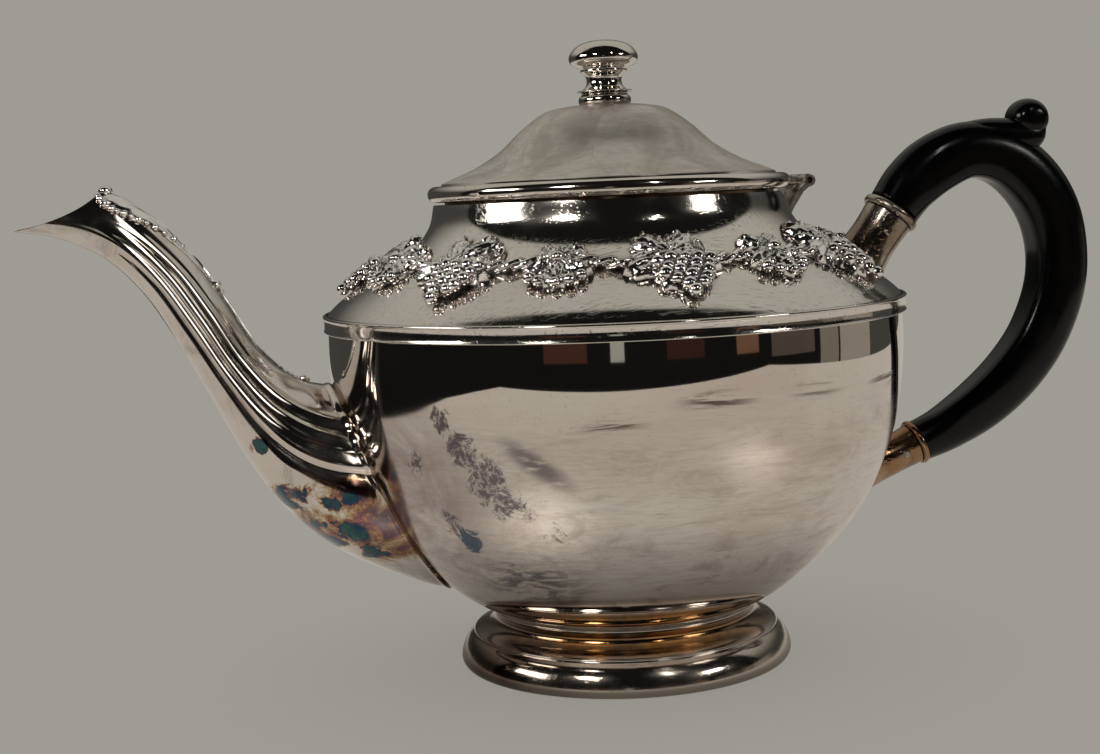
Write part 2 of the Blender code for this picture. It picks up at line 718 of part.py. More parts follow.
def main():
    """Clear the scene and make every piece."""
    for thing in list(bpy.data.objects):
        bpy.data.objects.remove(thing, do_unlink=True)
    material("tool", (0.5, 0.5, 0.5), 0, 0.5)
    silver = material("silver_plate", (0.70, 0.67, 0.62), 1, 0.18)
    bright = material("bright_cast_silver", (0.74, 0.72, 0.68), 1, 0.12)
    worn = material("worn_plate", (0.42, 0.34, 0.26), 1, 0.30)
    ebony = material("black_handle", (0.012, 0.012, 0.013), 0, 0.12)
    steel = material("hinge_steel", (0.45, 0.43, 0.40), 1, 0.30)

    bowl_cutter = tool("bowl_way", bowl_solid(GAP + 0.1))
    shoulder_cutter = tool("shoulder_way", shoulder_solid(GAP + 0.1))

    make_bowl(silver)
    make_shoulder(silver)
    make_rim_moulding(bright)
    make_foot(silver, bowl_cutter)
    make_spout(silver, bowl_cutter)
    make_spout_leaf(bright)
    tube_cutter = tool("upper_tube_way", upper_tube_solid(GAP))
    make_vine(bright, (tube_cutter, tool("upper_plate_way", upper_plate_solid(GAP))))
    make_upper_plate(worn, tube_cutter)
    make_socket("upper_socket", UPPER_MOUTH, UPPER_FOOT, UPPER_TUBE_R, shoulder_cutter, worn)
    make_socket("lower_socket", LOWER_MOUTH, LOWER_FOOT, LOWER_TUBE_R, bowl_cutter, worn)
    make_socket_ring("upper_socket_ring", UPPER_MOUTH, UPPER_FOOT, UPPER_TUBE_R, 2.2, worn)
    make_socket_ring("lower_socket_ring", LOWER_MOUTH, LOWER_FOOT, LOWER_TUBE_R, 1.6, worn)
    make_lower_drop(worn, bowl_cutter)
    make_handle(ebony)
    make_handle_pins(steel)
    moving_leaf, pin = make_hinge(bright, steel, shoulder_cutter)
    lid_pieces = make_lid(silver, bright)
    hang_on_hinge([moving_leaf, *lid_pieces])


main()
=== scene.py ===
"""Looks of the silver teapot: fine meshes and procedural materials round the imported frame.

Shapes are worked out in millimetres about the pot's own upright axis, then made in metres.
-X is the spout, +X the handle, +Z up. A bearing is an angle about the pot's axis, from +X
towards +Y; the camera stands at bearing -105 degrees.
"""

import math

import bmesh
import bpy
import numpy as np
from mathutils import Matrix, Vector


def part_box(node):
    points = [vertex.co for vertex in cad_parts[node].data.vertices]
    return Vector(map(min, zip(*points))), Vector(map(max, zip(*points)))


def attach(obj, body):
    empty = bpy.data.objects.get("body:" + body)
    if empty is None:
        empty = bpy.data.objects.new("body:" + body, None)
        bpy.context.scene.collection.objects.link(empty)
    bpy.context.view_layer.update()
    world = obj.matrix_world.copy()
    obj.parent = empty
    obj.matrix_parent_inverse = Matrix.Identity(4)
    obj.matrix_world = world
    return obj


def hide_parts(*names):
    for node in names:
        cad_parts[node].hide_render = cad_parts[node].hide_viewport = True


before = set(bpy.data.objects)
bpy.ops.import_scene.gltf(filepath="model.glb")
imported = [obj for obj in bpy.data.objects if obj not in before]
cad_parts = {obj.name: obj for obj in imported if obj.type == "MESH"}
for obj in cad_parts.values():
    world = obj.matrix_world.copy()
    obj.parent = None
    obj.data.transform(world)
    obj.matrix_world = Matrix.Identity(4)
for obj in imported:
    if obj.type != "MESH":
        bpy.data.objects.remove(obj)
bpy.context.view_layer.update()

MM = 0.001
BOWL_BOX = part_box("bowl")
POT_X = (BOWL_BOX[0][0] + BOWL_BOX[1][0]) / 2      # the pot's axis, in metres
TAU = math.tau

# Sizes repeated from the design, in millimetres
BOWL_TOP = 91.6
WALL = 1.2
NECK_R = 45.2
NECK_TOP = 119.9
LID_R = 46.6
LID_BASE = 120.5
KNOB_TOP = 160.1
KNOB_BASE = 143.5
HINGE = np.array((52.2, 122.3))
HINGE_HALF_WIDTH = 8.0
KNUCKLE_R = 1.7
UPPER_MOUTH = np.array((77.3, 111.5))
UPPER_FOOT = np.array((66.8, 97.7))
UPPER_TUBE_R = 6.9
LOWER_MOUTH = np.array((83.0, 49.4))
LOWER_FOOT = np.array((62.0, 40.6))
LOWER_TUBE_R = 5.5
VINE_SECTIONS = 7
VINE_R = 60.0
VINE_FIRST_DEG = -91.0
CAMERA_BEARING_DEG = -105.0
TURN_STEPS = 168

NOTHING = (0, 0, 0)


# ---------------------------------------------------------------- curves

def curve(points, per_span):
    """Catmull-Rom curve through points of any dimension, as an array."""
    points = np.array(points, float)
    line = np.vstack((2 * points[0] - points[1], points, 2 * points[-1] - points[-2]))
    made = []
    for i in range(1, len(line) - 2):
        a, b, c, d = line[i - 1:i + 3]
        for step in range(per_span):
            t = step / per_span
            square = (2 * a - 5 * b + 4 * c - d) * t * t
            cube = (3 * b - a - 3 * c + d) * t ** 3
            made.append(b + ((c - a) * t + square + cube) / 2)
    made.append(points[-1])
    return np.array(made)


def beside(line, distance):
    """A plane curve moved to its right by distance."""
    along = np.gradient(line, axis=0)
    along /= np.linalg.norm(along, axis=1)[:, None]
    return line + np.column_stack((along[:, 1], -along[:, 0])) * distance


def arc(centre, radius, start_deg, end_deg, count):
    """Points on a circular arc, both ends included."""
    turn = np.radians(np.linspace(start_deg, end_deg, count))
    return np.array(centre) + radius * np.column_stack((np.cos(turn), np.sin(turn)))


def full_turn(count):
    """Angles evenly round a circle."""
    return np.linspace(0, TAU, count, endpoint=False)


def ease(t):
    """0 to 1 with soft ends."""
    t = np.clip(t, 0, 1)
    return t * t * (3 - 2 * t)


BOWL_OUTLINE = curve(
    [(0, 12.6), (22, 12.8), (34.6, 15), (47.8, 23.5), (62.4, 39.4), (70.8, 58.5), (73.6, 77),
     (73.6, BOWL_TOP)], 10
)
SHOULDER_OUTLINE = curve(
    [(73.6, 93.3), (72.6, 94.35), (71.2, 95.65), (69.5, 97.0), (67.2, 98.6), (57.5, 104.7), (50.4, 109.6),
     (46.6, 114.4), (NECK_R, NECK_TOP)], 10
)


# ---------------------------------------------------------------- meshes

def grid_faces(rows, columns, close_rows=False, close_columns=False):
    """Quads of a grid of points numbered row by row."""
    faces = []
    for row in range(rows if close_rows else rows - 1):
        after = (row + 1) % rows
        for column in range(columns if close_columns else columns - 1):
            beyond = (column + 1) % columns
            faces.append((row * columns + column, row * columns + beyond,
                          after * columns + beyond, after * columns + column))
    return faces


class Shape:
    """Points in millimetres and faces, gathered from several shells."""

    def __init__(self):
        self.points = []
        self.faces = []

    def add(self, points, faces):
        """Take in one shell."""
        start = len(self.points)
        self.points.extend(np.asarray(points, float).reshape(-1, 3).tolist())
        self.faces.extend(tuple(start + i for i in face) for face in faces)
        return self

    def ring_of(self, rows):
        """Close equally long outlines, given round a circle, into one shell."""
        return self.add(rows, grid_faces(len(rows), len(rows[0]), True, True))

    def loft(self, rings, capped=True):
        """Skin over closed rings of equally many points."""
        rings = np.asarray(rings, float)
        rows, columns = rings.shape[:2]
        faces = grid_faces(rows, columns, close_columns=True)
        if capped:
            faces.append(tuple(reversed(range(columns))))
            faces.append(tuple((rows - 1) * columns + i for i in range(columns)))
        return self.add(rings, faces)

    def lathe(self, outline, steps=TURN_STEPS):
        """Spin a closed (radius, height) outline about the upright axis."""
        outline = np.asarray(outline, float)
        turn = full_turn(steps)[:, None]
        radius = outline[:, 0]
        height = np.broadcast_to(outline[:, 1], (steps, len(outline)))
        return self.ring_of(np.stack((radius * np.cos(turn), radius * np.sin(turn), height), axis=2))

    def ball(self, centre, radii, around=12, rings=8):
        """A rounded lump with its own radius on each axis."""
        turn = full_turn(around)
        polar = math.pi * np.arange(1, rings)[:, None] / rings
        level = np.broadcast_to(np.cos(polar), (rings - 1, around))
        rows = np.stack((np.cos(turn) * np.sin(polar), np.sin(turn) * np.sin(polar), level), axis=2)
        return self.loft(rows * np.array(radii) + np.array(centre))

    def tube(self, path, radii, sides=14):
        """Round tube along a path in space, with a radius for each path point."""
        path = np.asarray(path, float)
        radii = np.broadcast_to(radii, len(path))
        along = np.gradient(path, axis=0)
        along /= np.linalg.norm(along, axis=1)[:, None]
        across = np.cross(along, (0.13, 0.99, 0.05))
        across /= np.linalg.norm(across, axis=1)[:, None]
        over = np.cross(along, across)
        turn = full_turn(sides)
        rings = [p + r * (np.outer(np.cos(turn), a) + np.outer(np.sin(turn), o))
                 for p, r, a, o in zip(path, radii, across, over)]
        return self.loft(rings)


def finish_mesh(name, shape, look, sharp_deg=40):
    """A Blender object from a shape, standing on the pot's axis."""
    edit = bmesh.new()
    verts = [edit.verts.new(np.array(p) * MM) for p in shape.points]
    for face in shape.faces:
        if len(set(face)) > 2:
            edit.faces.new([verts[i] for i in face])
    bmesh.ops.remove_doubles(edit, verts=edit.verts, dist=1e-6)
    bmesh.ops.recalc_face_normals(edit, faces=edit.faces)
    mesh = bpy.data.meshes.new(name)
    edit.to_mesh(mesh)
    edit.free()
    mesh.shade_smooth()
    mesh.set_sharp_from_angle(angle=math.radians(sharp_deg))
    mesh.materials.append(look)
    made = bpy.data.objects.new(name, mesh)
    made.location = (POT_X, 0, 0)
    bpy.context.scene.collection.objects.link(made)
    return made


def piece(node, shape, look, body="pot", sharp_deg=40):
    """A fine piece that stands for one CAD node and moves with its body."""
    made = finish_mesh("fine_" + node, shape, look, sharp_deg)
    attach(made, body)
    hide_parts(node)
    return made


# ---------------------------------------------------------------- materials

class Nodes:
    """A node tree and short ways to add the nodes that looks, table and world share."""

    def __init__(self, tree):
        self.tree = tree

    def node(self, kind, **settings):
        """A new node with its settings."""
        made = self.tree.nodes.new("ShaderNode" + kind)
        for name, value in settings.items():
            setattr(made, name, value)
        return made

    def put(self, socket, value):
        """Link a socket, or set it; a colour may come without its alpha."""
        if isinstance(value, bpy.types.NodeSocket):
            self.tree.links.new(value, socket)
        elif socket.type == "RGBA":
            socket.default_value = (*value, 1)
        else:
            socket.default_value = value

    def maths(self, operation, *values):
        """Math nodes in a row, each taking in one more value."""
        total = values[0]
        for value in values[1:]:
            made = self.node("Math", operation=operation)
            self.put(made.inputs[0], total)
            self.put(made.inputs[1], value)
            total = made.outputs[0]
        return total

    def times(self, *values):
        """Product of values."""
        return self.maths("MULTIPLY", *values)

    def plus(self, *values):
        """Sum of values."""
        return self.maths("ADD", *values)

    def highest(self, *values):
        """Greatest of values."""
        return self.maths("MAXIMUM", *values)

    def between(self, value, low, high, to_low=0.0, to_high=1.0, ends="SMOOTHSTEP"):
        """Carry a value from one range to another, with soft ends if nothing else is said."""
        made = self.node("MapRange", interpolation_type=ends)
        for socket, each in zip(made.inputs, (value, low, high, to_low, to_high)):
            self.put(socket, each)
        return made.outputs[0]

    def laid(self, under, over, *shares):
        """One colour laid over another, by the product of the shares."""
        made = self.node("Mix", data_type="RGBA")
        self.put(made.inputs["Factor"], self.times(*shares))
        self.put(made.inputs[6], under)
        self.put(made.inputs[7], over)
        return made.outputs[2]


class Look(Nodes):
    """One Principled material, with the textures that the looks share."""

    def __init__(self, name, metallic=1.0):
        self.made = bpy.data.materials.new(name)
        self.made.use_nodes = True
        super().__init__(self.made.node_tree)
        self.shader = self.tree.nodes["Principled BSDF"]
        self.shader.inputs["Metallic"].default_value = metallic
        self.place = self.node("TexCoord").outputs["Object"]

    def noise(self, scale, detail=4.0, stretch=None, turn=NOTHING, distortion=0.0, roughness=0.55):
        """Noise from 0 to 1 in cycles per metre; stretch and turn (degrees) make streaks of it."""
        where = self.place
        if stretch:
            mapped = self.node("Mapping")
            self.put(mapped.inputs["Vector"], where)
            mapped.inputs["Scale"].default_value = stretch
            mapped.inputs["Rotation"].default_value = np.radians(turn)
            where = mapped.outputs[0]
        made = self.node("TexNoise")
        self.put(made.inputs["Vector"], where)
        made.inputs["Scale"].default_value = scale
        made.inputs["Detail"].default_value = detail
        made.inputs["Distortion"].default_value = distortion
        made.inputs["Roughness"].default_value = roughness
        return made.outputs["Fac"]

    def patches(self, scale, detail, low, high, least=0.0, most=1.0, **kind):
        """Noise cut between two levels into soft patches."""
        return self.between(self.noise(scale, detail, **kind), low, high, least, most)

    def height(self):
        """Height above the table, in millimetres."""
        split = self.node("SeparateXYZ")
        self.put(split.inputs[0], self.place)
        return self.times(split.outputs[2], 1 / MM)

    def folded(self):
        """Object coordinates with every sign dropped, for marks alike on both sides."""
        made = self.node("VectorMath", operation="ABSOLUTE")
        self.put(made.inputs[0], self.place)
        return made.outputs[0]

    def film(self, thickness):
        """Colour of a tarnish film of a thickness from 0 to 1."""
        made = self.node("ValToRGB")
        self.put(made.inputs[0], thickness)
        first, *between, last = FILM_COLOURS
        for stop, (position, colour) in zip(made.color_ramp.elements, (first, last)):
            stop.position = position
            stop.color = (*colour, 1)
        for position, colour in between:
            made.color_ramp.elements.new(position).color = (*colour, 1)
        return made.outputs[0]

    def near(self, centre_mm, reach_mm, turn=NOTHING, where=None):
        """1 at a place on the object, falling to 0 at reach_mm along each axis."""
        made = self.node("Mapping", vector_type="TEXTURE")
        self.put(made.inputs["Vector"], where or self.place)
        made.inputs["Location"].default_value = np.array(centre_mm) * MM
        made.inputs["Rotation"].default_value = np.radians(turn)
        made.inputs["Scale"].default_value = np.array(reach_mm) * MM
        length = self.node("VectorMath", operation="LENGTH")
        self.put(length.inputs[0], made.outputs[0])
        return self.between(length.outputs["Value"], 1.0, 0.2)

    def nearest(self, places, spread=1.0, where=None):
        """1 at any of several places, each a centre and a reach in mm."""
        return self.highest(*[self.near(c, np.array(r) * spread, where=where) for c, r in places])

    def scratches(self, scale=1.0):
        """Fine hairline scratches in several directions, 0 to 1."""
        return self.highest(*[
            self.patches(70 * scale, 2, 0.64, 0.72, stretch=(1, thin, thin * 0.6), turn=turn, distortion=0.6)
            for turn, thin in (((0, 0, 20), 26), ((50, 10, 70), 30), ((-35, 60, 140), 22))
        ])

    def hollows(self, reach_mm):
        """1 in recesses and 0 on open surface."""
        made = self.node("AmbientOcclusion", samples=8)
        made.inputs["Distance"].default_value = reach_mm * MM
        return self.between(made.outputs["AO"], 0.95, 0.45)

    def bump(self, height, strength, distance_mm=0.2):
        """Bump from a height value."""
        made = self.node("Bump")
        made.inputs["Strength"].default_value = strength
        made.inputs["Distance"].default_value = distance_mm * MM
        self.put(made.inputs["Height"], height)
        self.put(self.shader.inputs["Normal"], made.outputs[0])

    def surface(self, colour, roughness):
        """Set the colour and the roughness."""
        self.put(self.shader.inputs["Base Color"], colour)
        self.put(self.shader.inputs["Roughness"], roughness)
        return self.made


SILVER = (0.83, 0.79, 0.73)
SILVER_WARM = (0.72, 0.62, 0.55)
TARNISH = (0.13, 0.10, 0.13)
TARNISH_BLUE = (0.06, 0.10, 0.15)
BROWN_GOLD = (0.22, 0.12, 0.05)
# painted reflection: the bright orange that the cove's golden-brown tarnish takes on the camera side,
# standing for the lit table it reflects
GOLD_PAINTED_LIT = (0.82, 0.37, 0.07)
# a tarnish film by its thickness: none, gold, brown, purple, blue, teal
FILM_COLOURS = (
    (0.0, SILVER),
    (0.28, (0.55, 0.40, 0.24)),
    (0.45, (0.34, 0.17, 0.11)),
    (0.58, (0.16, 0.09, 0.12)),
    (0.72, (0.05, 0.06, 0.11)),
    (0.86, (0.03, 0.08, 0.13)),
    (1.0, (0.06, 0.13, 0.13)),
)
# bearing, height, reach in mm and strength of each patch of speckled tarnish on the bowl
TARNISH_SPOTS = (
    (-138.5, 72, 5, 1.0),
    (-134, 65, 7, 0.95),
    (-130, 58, 9, 1.0),
    (-127, 53, 8, 0.95),
    (-124, 50, 6, 0.8),
    (-141, 47, 7, 0.8),
    (-146, 60, 8, 0.6),
    (-118, 44, 8, 0.5),
    (-101, 70, 6, 0.5),
)
# bearing, height and reach of the dark level streaks high on the bowl
STREAK_PLACES = ((-106, 71, 10), (-87, 75, 12), (-66, 75.5, 12), (-44, 74.6, 12))


def on_bowl(bearing_deg, height):
    """The point of the bowl's outside at a bearing and height."""
    radius = np.interp(height, BOWL_OUTLINE[:, 1], BOWL_OUTLINE[:, 0])
    turn = math.radians(bearing_deg)
    return radius * math.cos(turn), radius * math.sin(turn), height


def silver_base(look, cloud):
    """Cloudy plate colour with warm, half-tarnished patches."""
    cloudy = look.patches(22, 6, 0.42, 0.68, distortion=0.8)
    brushed = look.patches(9, 5, 0.35, 0.7, stretch=(1, 1, 9), distortion=0.4)
    return look.laid(SILVER, SILVER_WARM, look.plus(cloudy, brushed), cloud * 0.5)


def bowl_look():
    """Polished silver gone cloudy, with the speckled tarnish on the side by the spout."""
    look = Look("bowl_silver")
    height = look.height()
    satin = look.times(look.between(height, 78, 60), look.between(height, 22, 30))
    colour = silver_base(look, 0.9)
    brushed = look.patches(30, 8, 0.46, 0.68, 0, 0.6, stretch=(1, 1, 3.2), turn=(0, 14, 0),
                           distortion=1.6, roughness=0.72)
    colour = look.laid(colour, (0.47, 0.39, 0.34), brushed, satin)
    grain = look.patches(150, 5, 0.4, 0.7, 0, 0.4, stretch=(1, 1, 9), turn=(0, -20, 0),
                         distortion=0.6, roughness=0.7)
    colour = look.laid(colour, (0.52, 0.44, 0.40), grain, satin)
    haze = look.patches(50, 7, 0.22, 0.62, distortion=0.8, roughness=0.65)
    by_spout = look.near(on_bowl(-150, 53), (34, 34, 32))
    colour = look.laid(colour, (0.36, 0.28, 0.27), by_spout, haze, 0.9)
    swirls = look.patches(34, 8, 0.5, 0.66, 0, 0.6, stretch=(1, 1, 2.2), turn=(0, 35, 0),
                          distortion=3.0, roughness=0.7)
    colour = look.laid(colour, (0.36, 0.27, 0.28), swirls, look.between(height, 58, 26))

    clumps = look.noise(190, 9, distortion=0.9, roughness=0.78)
    spots = [look.times(look.near(on_bowl(bearing, level), (reach, reach, reach * 1.2)), most)
             for bearing, level, reach, most in TARNISH_SPOTS]
    cluster = look.between(look.plus(look.times(look.highest(*spots), 0.30), clumps), 0.68, 0.78)
    cluster = look.times(cluster, look.patches(520, 6, 0.40, 0.52, 0.25, 1.0, roughness=0.75))
    colour = look.laid(colour, TARNISH, cluster, 0.88)
    blue = look.plus(look.times(look.near(on_bowl(-138, 42), (7, 7, 8)), 0.34), clumps)
    colour = look.laid(colour, TARNISH_BLUE, look.between(blue, 0.70, 0.78), 0.9)

    hatch = look.patches(130, 6, 0.28, 0.50, stretch=(1, 1, 4), turn=(0, 40, 0), distortion=0.5)
    smear = look.times(look.near(on_bowl(-119.5, 61.5), (14, 9, 3.9), (0, 36, -30)), hatch)
    colour = look.laid(colour, (0.17, 0.13, 0.15), smear, 0.8)
    smoky = look.patches(90, 7, 0.44, 0.60, 0, 0.85, stretch=(1, 1, 3.2), turn=(0, -38, 0),
                         distortion=1.2, roughness=0.7)
    colour = look.laid(colour, (0.15, 0.13, 0.16), look.near(on_bowl(-128, 31), (19, 19, 13)), smoky)
    runs = look.patches(75, 8, 0.50, 0.60, 0, 0.9, stretch=(0.3, 0.3, 3.4), distortion=0.8, roughness=0.68)
    high = look.nearest([(on_bowl(bearing, level), (reach, reach, 3.2))
                         for bearing, level, reach in STREAK_PLACES])
    streak = look.times(high, runs)
    colour = look.laid(colour, (0.15, 0.10, 0.09), streak)

    colour = look.laid(colour, (0.42, 0.36, 0.33), look.scratches(), 0.22)
    rough = look.times(look.patches(45, 5, 0.35, 0.7, 0.10, 0.20, distortion=0.6), satin)
    dulled = look.times(look.highest(cluster, smear, streak), 0.25)
    look.bump(look.noise(14, 2), 0.10)
    return look.surface(colour, look.plus(rough, dulled, 0.035))


def plain_silver_look(name, rough_low, rough_high, cloud=0.5):
    """Silver plate with clouding, a little tarnish in its corners and fine scratches."""
    look = Look(name)
    colour = silver_base(look, cloud)
    colour = look.laid(colour, TARNISH, look.hollows(3.0), look.noise(120, 5), 0.8)
    scratches = look.scratches(1.3)
    colour = look.laid(colour, (0.40, 0.36, 0.32), scratches, 0.5)
    grain = look.patches(170, 5, 0.42, 0.7, 0, 0.35 * cloud, stretch=(1, 1, 6), turn=(20, -20, 0),
                         distortion=0.8, roughness=0.7)
    colour = look.laid(colour, (0.50, 0.44, 0.38), grain)
    look.bump(look.plus(look.times(scratches, -0.6), look.noise(18, 2)), 0.1)
    return look.surface(colour, look.patches(60, 5, 0.35, 0.7, rough_low, rough_high, distortion=0.7))


def lid_look():
    """Satin dome with wandering scratches, above a polished edge roll."""
    look = Look("lid_silver")
    satin = look.between(look.height(), 124.6, 125.4)
    colour = silver_base(look, 0.9)
    haze = look.patches(38, 7, 0.42, 0.62, 0, 0.7, distortion=1.0, roughness=0.65)
    colour = look.laid(colour, (0.48, 0.43, 0.38), haze, satin)
    grain = look.patches(170, 6, 0.42, 0.7, 0, 0.4, stretch=(1, 1, 5), turn=(20, -20, 0),
                         distortion=0.8, roughness=0.7)
    colour = look.laid(colour, (0.46, 0.40, 0.35), grain, satin)
    waves = look.maths("FRACT", look.times(look.noise(16, 3, distortion=2.5), 9), 0)
    off_line = look.maths("ABSOLUTE", look.maths("SUBTRACT", waves, 0.5), 0)
    broken = look.patches(45, 4, 0.5, 0.62)
    colour = look.laid(colour, (0.30, 0.26, 0.22), look.between(off_line, 0.035, 0.0), broken, 0.5)
    rough = look.times(look.patches(60, 5, 0.35, 0.7, 0.30, 0.44, distortion=0.7), satin)
    look.bump(look.noise(18, 2), 0.1)
    return look.surface(colour, look.plus(rough, 0.10))


def foot_look():
    """Polished foot whose cove has gone golden brown, painted a brighter orange on the camera side as a
    painted reflection of the lit table, and whose spout side is dark.
    """
    look = Look("foot_silver")
    height = look.height()
    colour = silver_base(look, 0.7)
    # painted reflection: towards the camera the cove's gold brightens to orange, standing for the lit table
    # it would reflect; the golden brown itself is tarnish
    front = look.near((-12, -33, 12), (34, 24, 14))
    gold_and_painted_glow = look.laid(BROWN_GOLD, GOLD_PAINTED_LIT, front, look.patches(70, 5, 0.3, 0.6, stretch=(1, 1, 0.3)))
    cove = look.times(look.between(height, 8.6, 9.4), look.between(height, 14.2, 12.6))
    colour = look.laid(colour, gold_and_painted_glow, cove, 0.9)
    colour = look.laid(colour, (0.46, 0.40, 0.33), look.between(height, 9.6, 8.8, 0, 0.6))
    side = look.near((-42, -14, 6), (40, 44, 20))
    colour = look.laid(colour, (0.13, 0.09, 0.07), side, look.patches(55, 6, 0.3, 0.6, 0.6, 1.0))
    colour = look.laid(colour, (0.13, 0.08, 0.04), look.hollows(4.0), 0.7)
    spots = look.patches(260, 5, 0.62, 0.7, 0, 0.6, distortion=1.0)
    colour = look.laid(colour, TARNISH, spots, look.patches(30, 4, 0.45, 0.6))
    look.bump(look.plus(look.times(look.scratches(1.4), -0.3), look.noise(30, 2)), 0.12)
    return look.surface(colour, look.patches(80, 4, 0.35, 0.7, 0.09, 0.19))


# place (signs dropped) and reach in mm of the brown and of the blue patches on the spout's belly
SPOUT_BROWNS = (((65, 20, 44), (17, 20, 17)), ((73, 18, 52), (12, 18, 8)), ((80, 14, 42), (14, 18, 12)))
SPOUT_BLUES = (
    ((86.5, 13, 51.2), (7.6, 16, 5.2)),
    ((77.0, 15, 50.2), (5.0, 16, 4.4)),
    ((73.3, 20, 50.6), (4.2, 12, 2.6)),
    ((80, 14, 44), (6, 16, 3.0)),
    ((73, 20, 42), (7, 14, 4)),
    ((78, 14, 38.5), (8, 16, 3.6)),
    ((68, 20, 36.5), (7, 14, 3.4)),
    ((93.4, 11, 64.0), (3.2, 14, 3.0)),
)


def spout_look():
    """Silver with blue, purple and copper tarnish on the belly near the bowl."""
    look = Look("spout_silver")
    folded = look.folded()
    ragged = look.noise(125, 9, distortion=0.7, roughness=0.74)
    drift = look.times(look.maths("SUBTRACT", ragged, 0.5), 3.4)
    warm = look.nearest(SPOUT_BROWNS, where=folded)
    zone = look.nearest(SPOUT_BLUES, 1.3, folded)
    brown = look.between(look.plus(warm, drift), 0.0, 1.1, 0, 0.58)
    blue = look.between(look.plus(zone, drift), 0.45, 1.0)
    thickness = look.highest(
        look.times(brown, look.between(warm, 0, 0.2)),
        look.times(blue, look.patches(240, 5, 0.3, 0.6, 0.80, 1.0), look.between(zone, 0, 0.25)),
    )
    colour = look.laid(silver_base(look, 0.9), look.film(thickness), look.between(thickness, 0.02, 0.25))
    blotches = look.patches(60, 9, 0.50, 0.70, 0, 0.6, stretch=(1, 1, 0.7), turn=(0, 35, 0),
                            distortion=0.9, roughness=0.74)
    colour = look.laid(colour, (0.30, 0.29, 0.27), blotches)
    colour = look.laid(colour, (0.22, 0.13, 0.08), look.hollows(2.2), 0.7)
    look.bump(look.noise(14, 2), 0.08)
    return look.surface(colour, look.patches(70, 5, 0.35, 0.7, 0.06, 0.15, distortion=0.7))


def cast_look():
    """Bright cast work, dark in its recesses."""
    look = Look("cast_silver")
    colour = look.laid((0.98, 0.96, 0.93), (0.86, 0.78, 0.79), look.patches(160, 3, 0.4, 0.65, 0, 0.6))
    colour = look.laid(colour, (0.12, 0.09, 0.08), look.hollows(1.0), 0.45)
    look.bump(look.noise(620, 4), 0.45, 0.3)
    return look.surface(colour, look.patches(300, 3, 0.35, 0.7, 0.06, 0.18))


def worn_look(name, plate, base):
    """Plating worn through to the brown base metal."""
    look = Look(name)
    colour = look.laid(plate, base, look.patches(55, 6, 0.4, 0.62, distortion=1.2))
    colour = look.laid(colour, (0.16, 0.11, 0.08), look.patches(120, 5, 0.55, 0.72, 0, 0.7, distortion=0.8))
    colour = look.laid(colour, (0.07, 0.05, 0.04), look.hollows(1.8), 0.8)
    look.bump(look.plus(look.noise(220, 4), look.scratches(2)), 0.2)
    return look.surface(colour, look.patches(90, 4, 0.35, 0.7, 0.14, 0.34))


def handle_look():
    """Glossy black, with the faint grain, dust and hairlines of a handled surface."""
    look = Look("black_handle", metallic=0.0)
    grain = look.noise(50, 5, stretch=(1, 9, 2), distortion=0.4)
    colour = look.laid((0.0006, 0.0007, 0.0009), (0.0022, 0.0022, 0.0022), grain)
    look.shader.inputs["Specular IOR Level"].default_value = 0.22
    look.shader.inputs["Coat Weight"].default_value = 0.05
    look.shader.inputs["Coat Roughness"].default_value = 0.06
    look.bump(look.plus(look.times(look.scratches(1.2), -0.4), look.noise(20, 2)), 0.06)
    return look.surface(colour, look.patches(70, 4, 0.3, 0.7, 0.12, 0.24))


def steel_look():
    """Grey pin steel with turning marks and a little brown."""
    look = Look("pin_steel")
    colour = look.laid((0.46, 0.44, 0.41), (0.24, 0.17, 0.12), look.patches(300, 4, 0.4, 0.7))
    look.bump(look.noise(500, 3, stretch=(1, 0.1, 1)), 0.2, 0.05)
    return look.surface(colour, look.patches(200, 3, 0.3, 0.7, 0.2, 0.4))


# ---------------------------------------------------------------- the pot's body

def turned_shell(outline, wall, top):
    """Closed outline of a spun wall: its outside up, its inside down."""
    inside = beside(outline, -wall)
    inside[0, 0] = max(inside[0, 0], 0) if outline[0, 0] else 0
    inside[-1, 1] = top
    return np.vstack((outline, inside[::-1]))


def make_bowl(look):
    """Spun bowl with its strainer holes behind the spout."""
    bowl = piece("bowl", Shape().lathe(turned_shell(BOWL_OUTLINE, WALL, BOWL_TOP)), look)
    holes = Shape()
    for row, count in enumerate((2, 3, 4, 3, 2)):
        height = 55 + (row - 2) * 6.0
        for column in range(count):
            across = (column - (count - 1) / 2) * 6.0
            path = np.linspace((-78, across, height), (-56, across, height), 3)
            holes.tube(path, 1.5, 20)
    cutter = finish_mesh("strainer_cutter", holes, look)
    cut = bowl.modifiers.new("strainer", "BOOLEAN")
    cut.object = cutter
    apply_modifiers(bowl)
    bpy.data.objects.remove(cutter)


def apply_modifiers(thing):
    """Replace an object's mesh by its evaluated one."""
    graph = bpy.context.evaluated_depsgraph_get()
    mesh = bpy.data.meshes.new_from_object(thing.evaluated_get(graph))
    mesh.set_sharp_from_angle(angle=math.radians(40))
    thing.modifiers.clear()
    thing.data = mesh


def make_shoulder(look):
    """Spun shoulder with a short upright skirt under the rim moulding."""
    outline = np.vstack(([(73.4, 92.0)], SHOULDER_OUTLINE))
    shell = turned_shell(outline, WALL, NECK_TOP)
    shell[len(outline) * 2 - 1, 1] = 92.0
    piece("shoulder", Shape().lathe(shell), look)


def make_rim_moulding(look):
    """Rolled bead above, dark cove, thin bead below."""
    inner = 73.95
    outline = np.vstack((
        [(inner, 89.1), (74.6, 89.1)],
        arc((74.6, 89.3), 0.17, -80, 80, 7),
        [(74.55, 89.6), (74.55, 92.3)],
        arc((74.45, 92.82), 0.42, -60, 115, 10),
        [(inner, 93.3)],
    ))
    piece("rim_moulding", Shape().lathe(outline, 224), look)


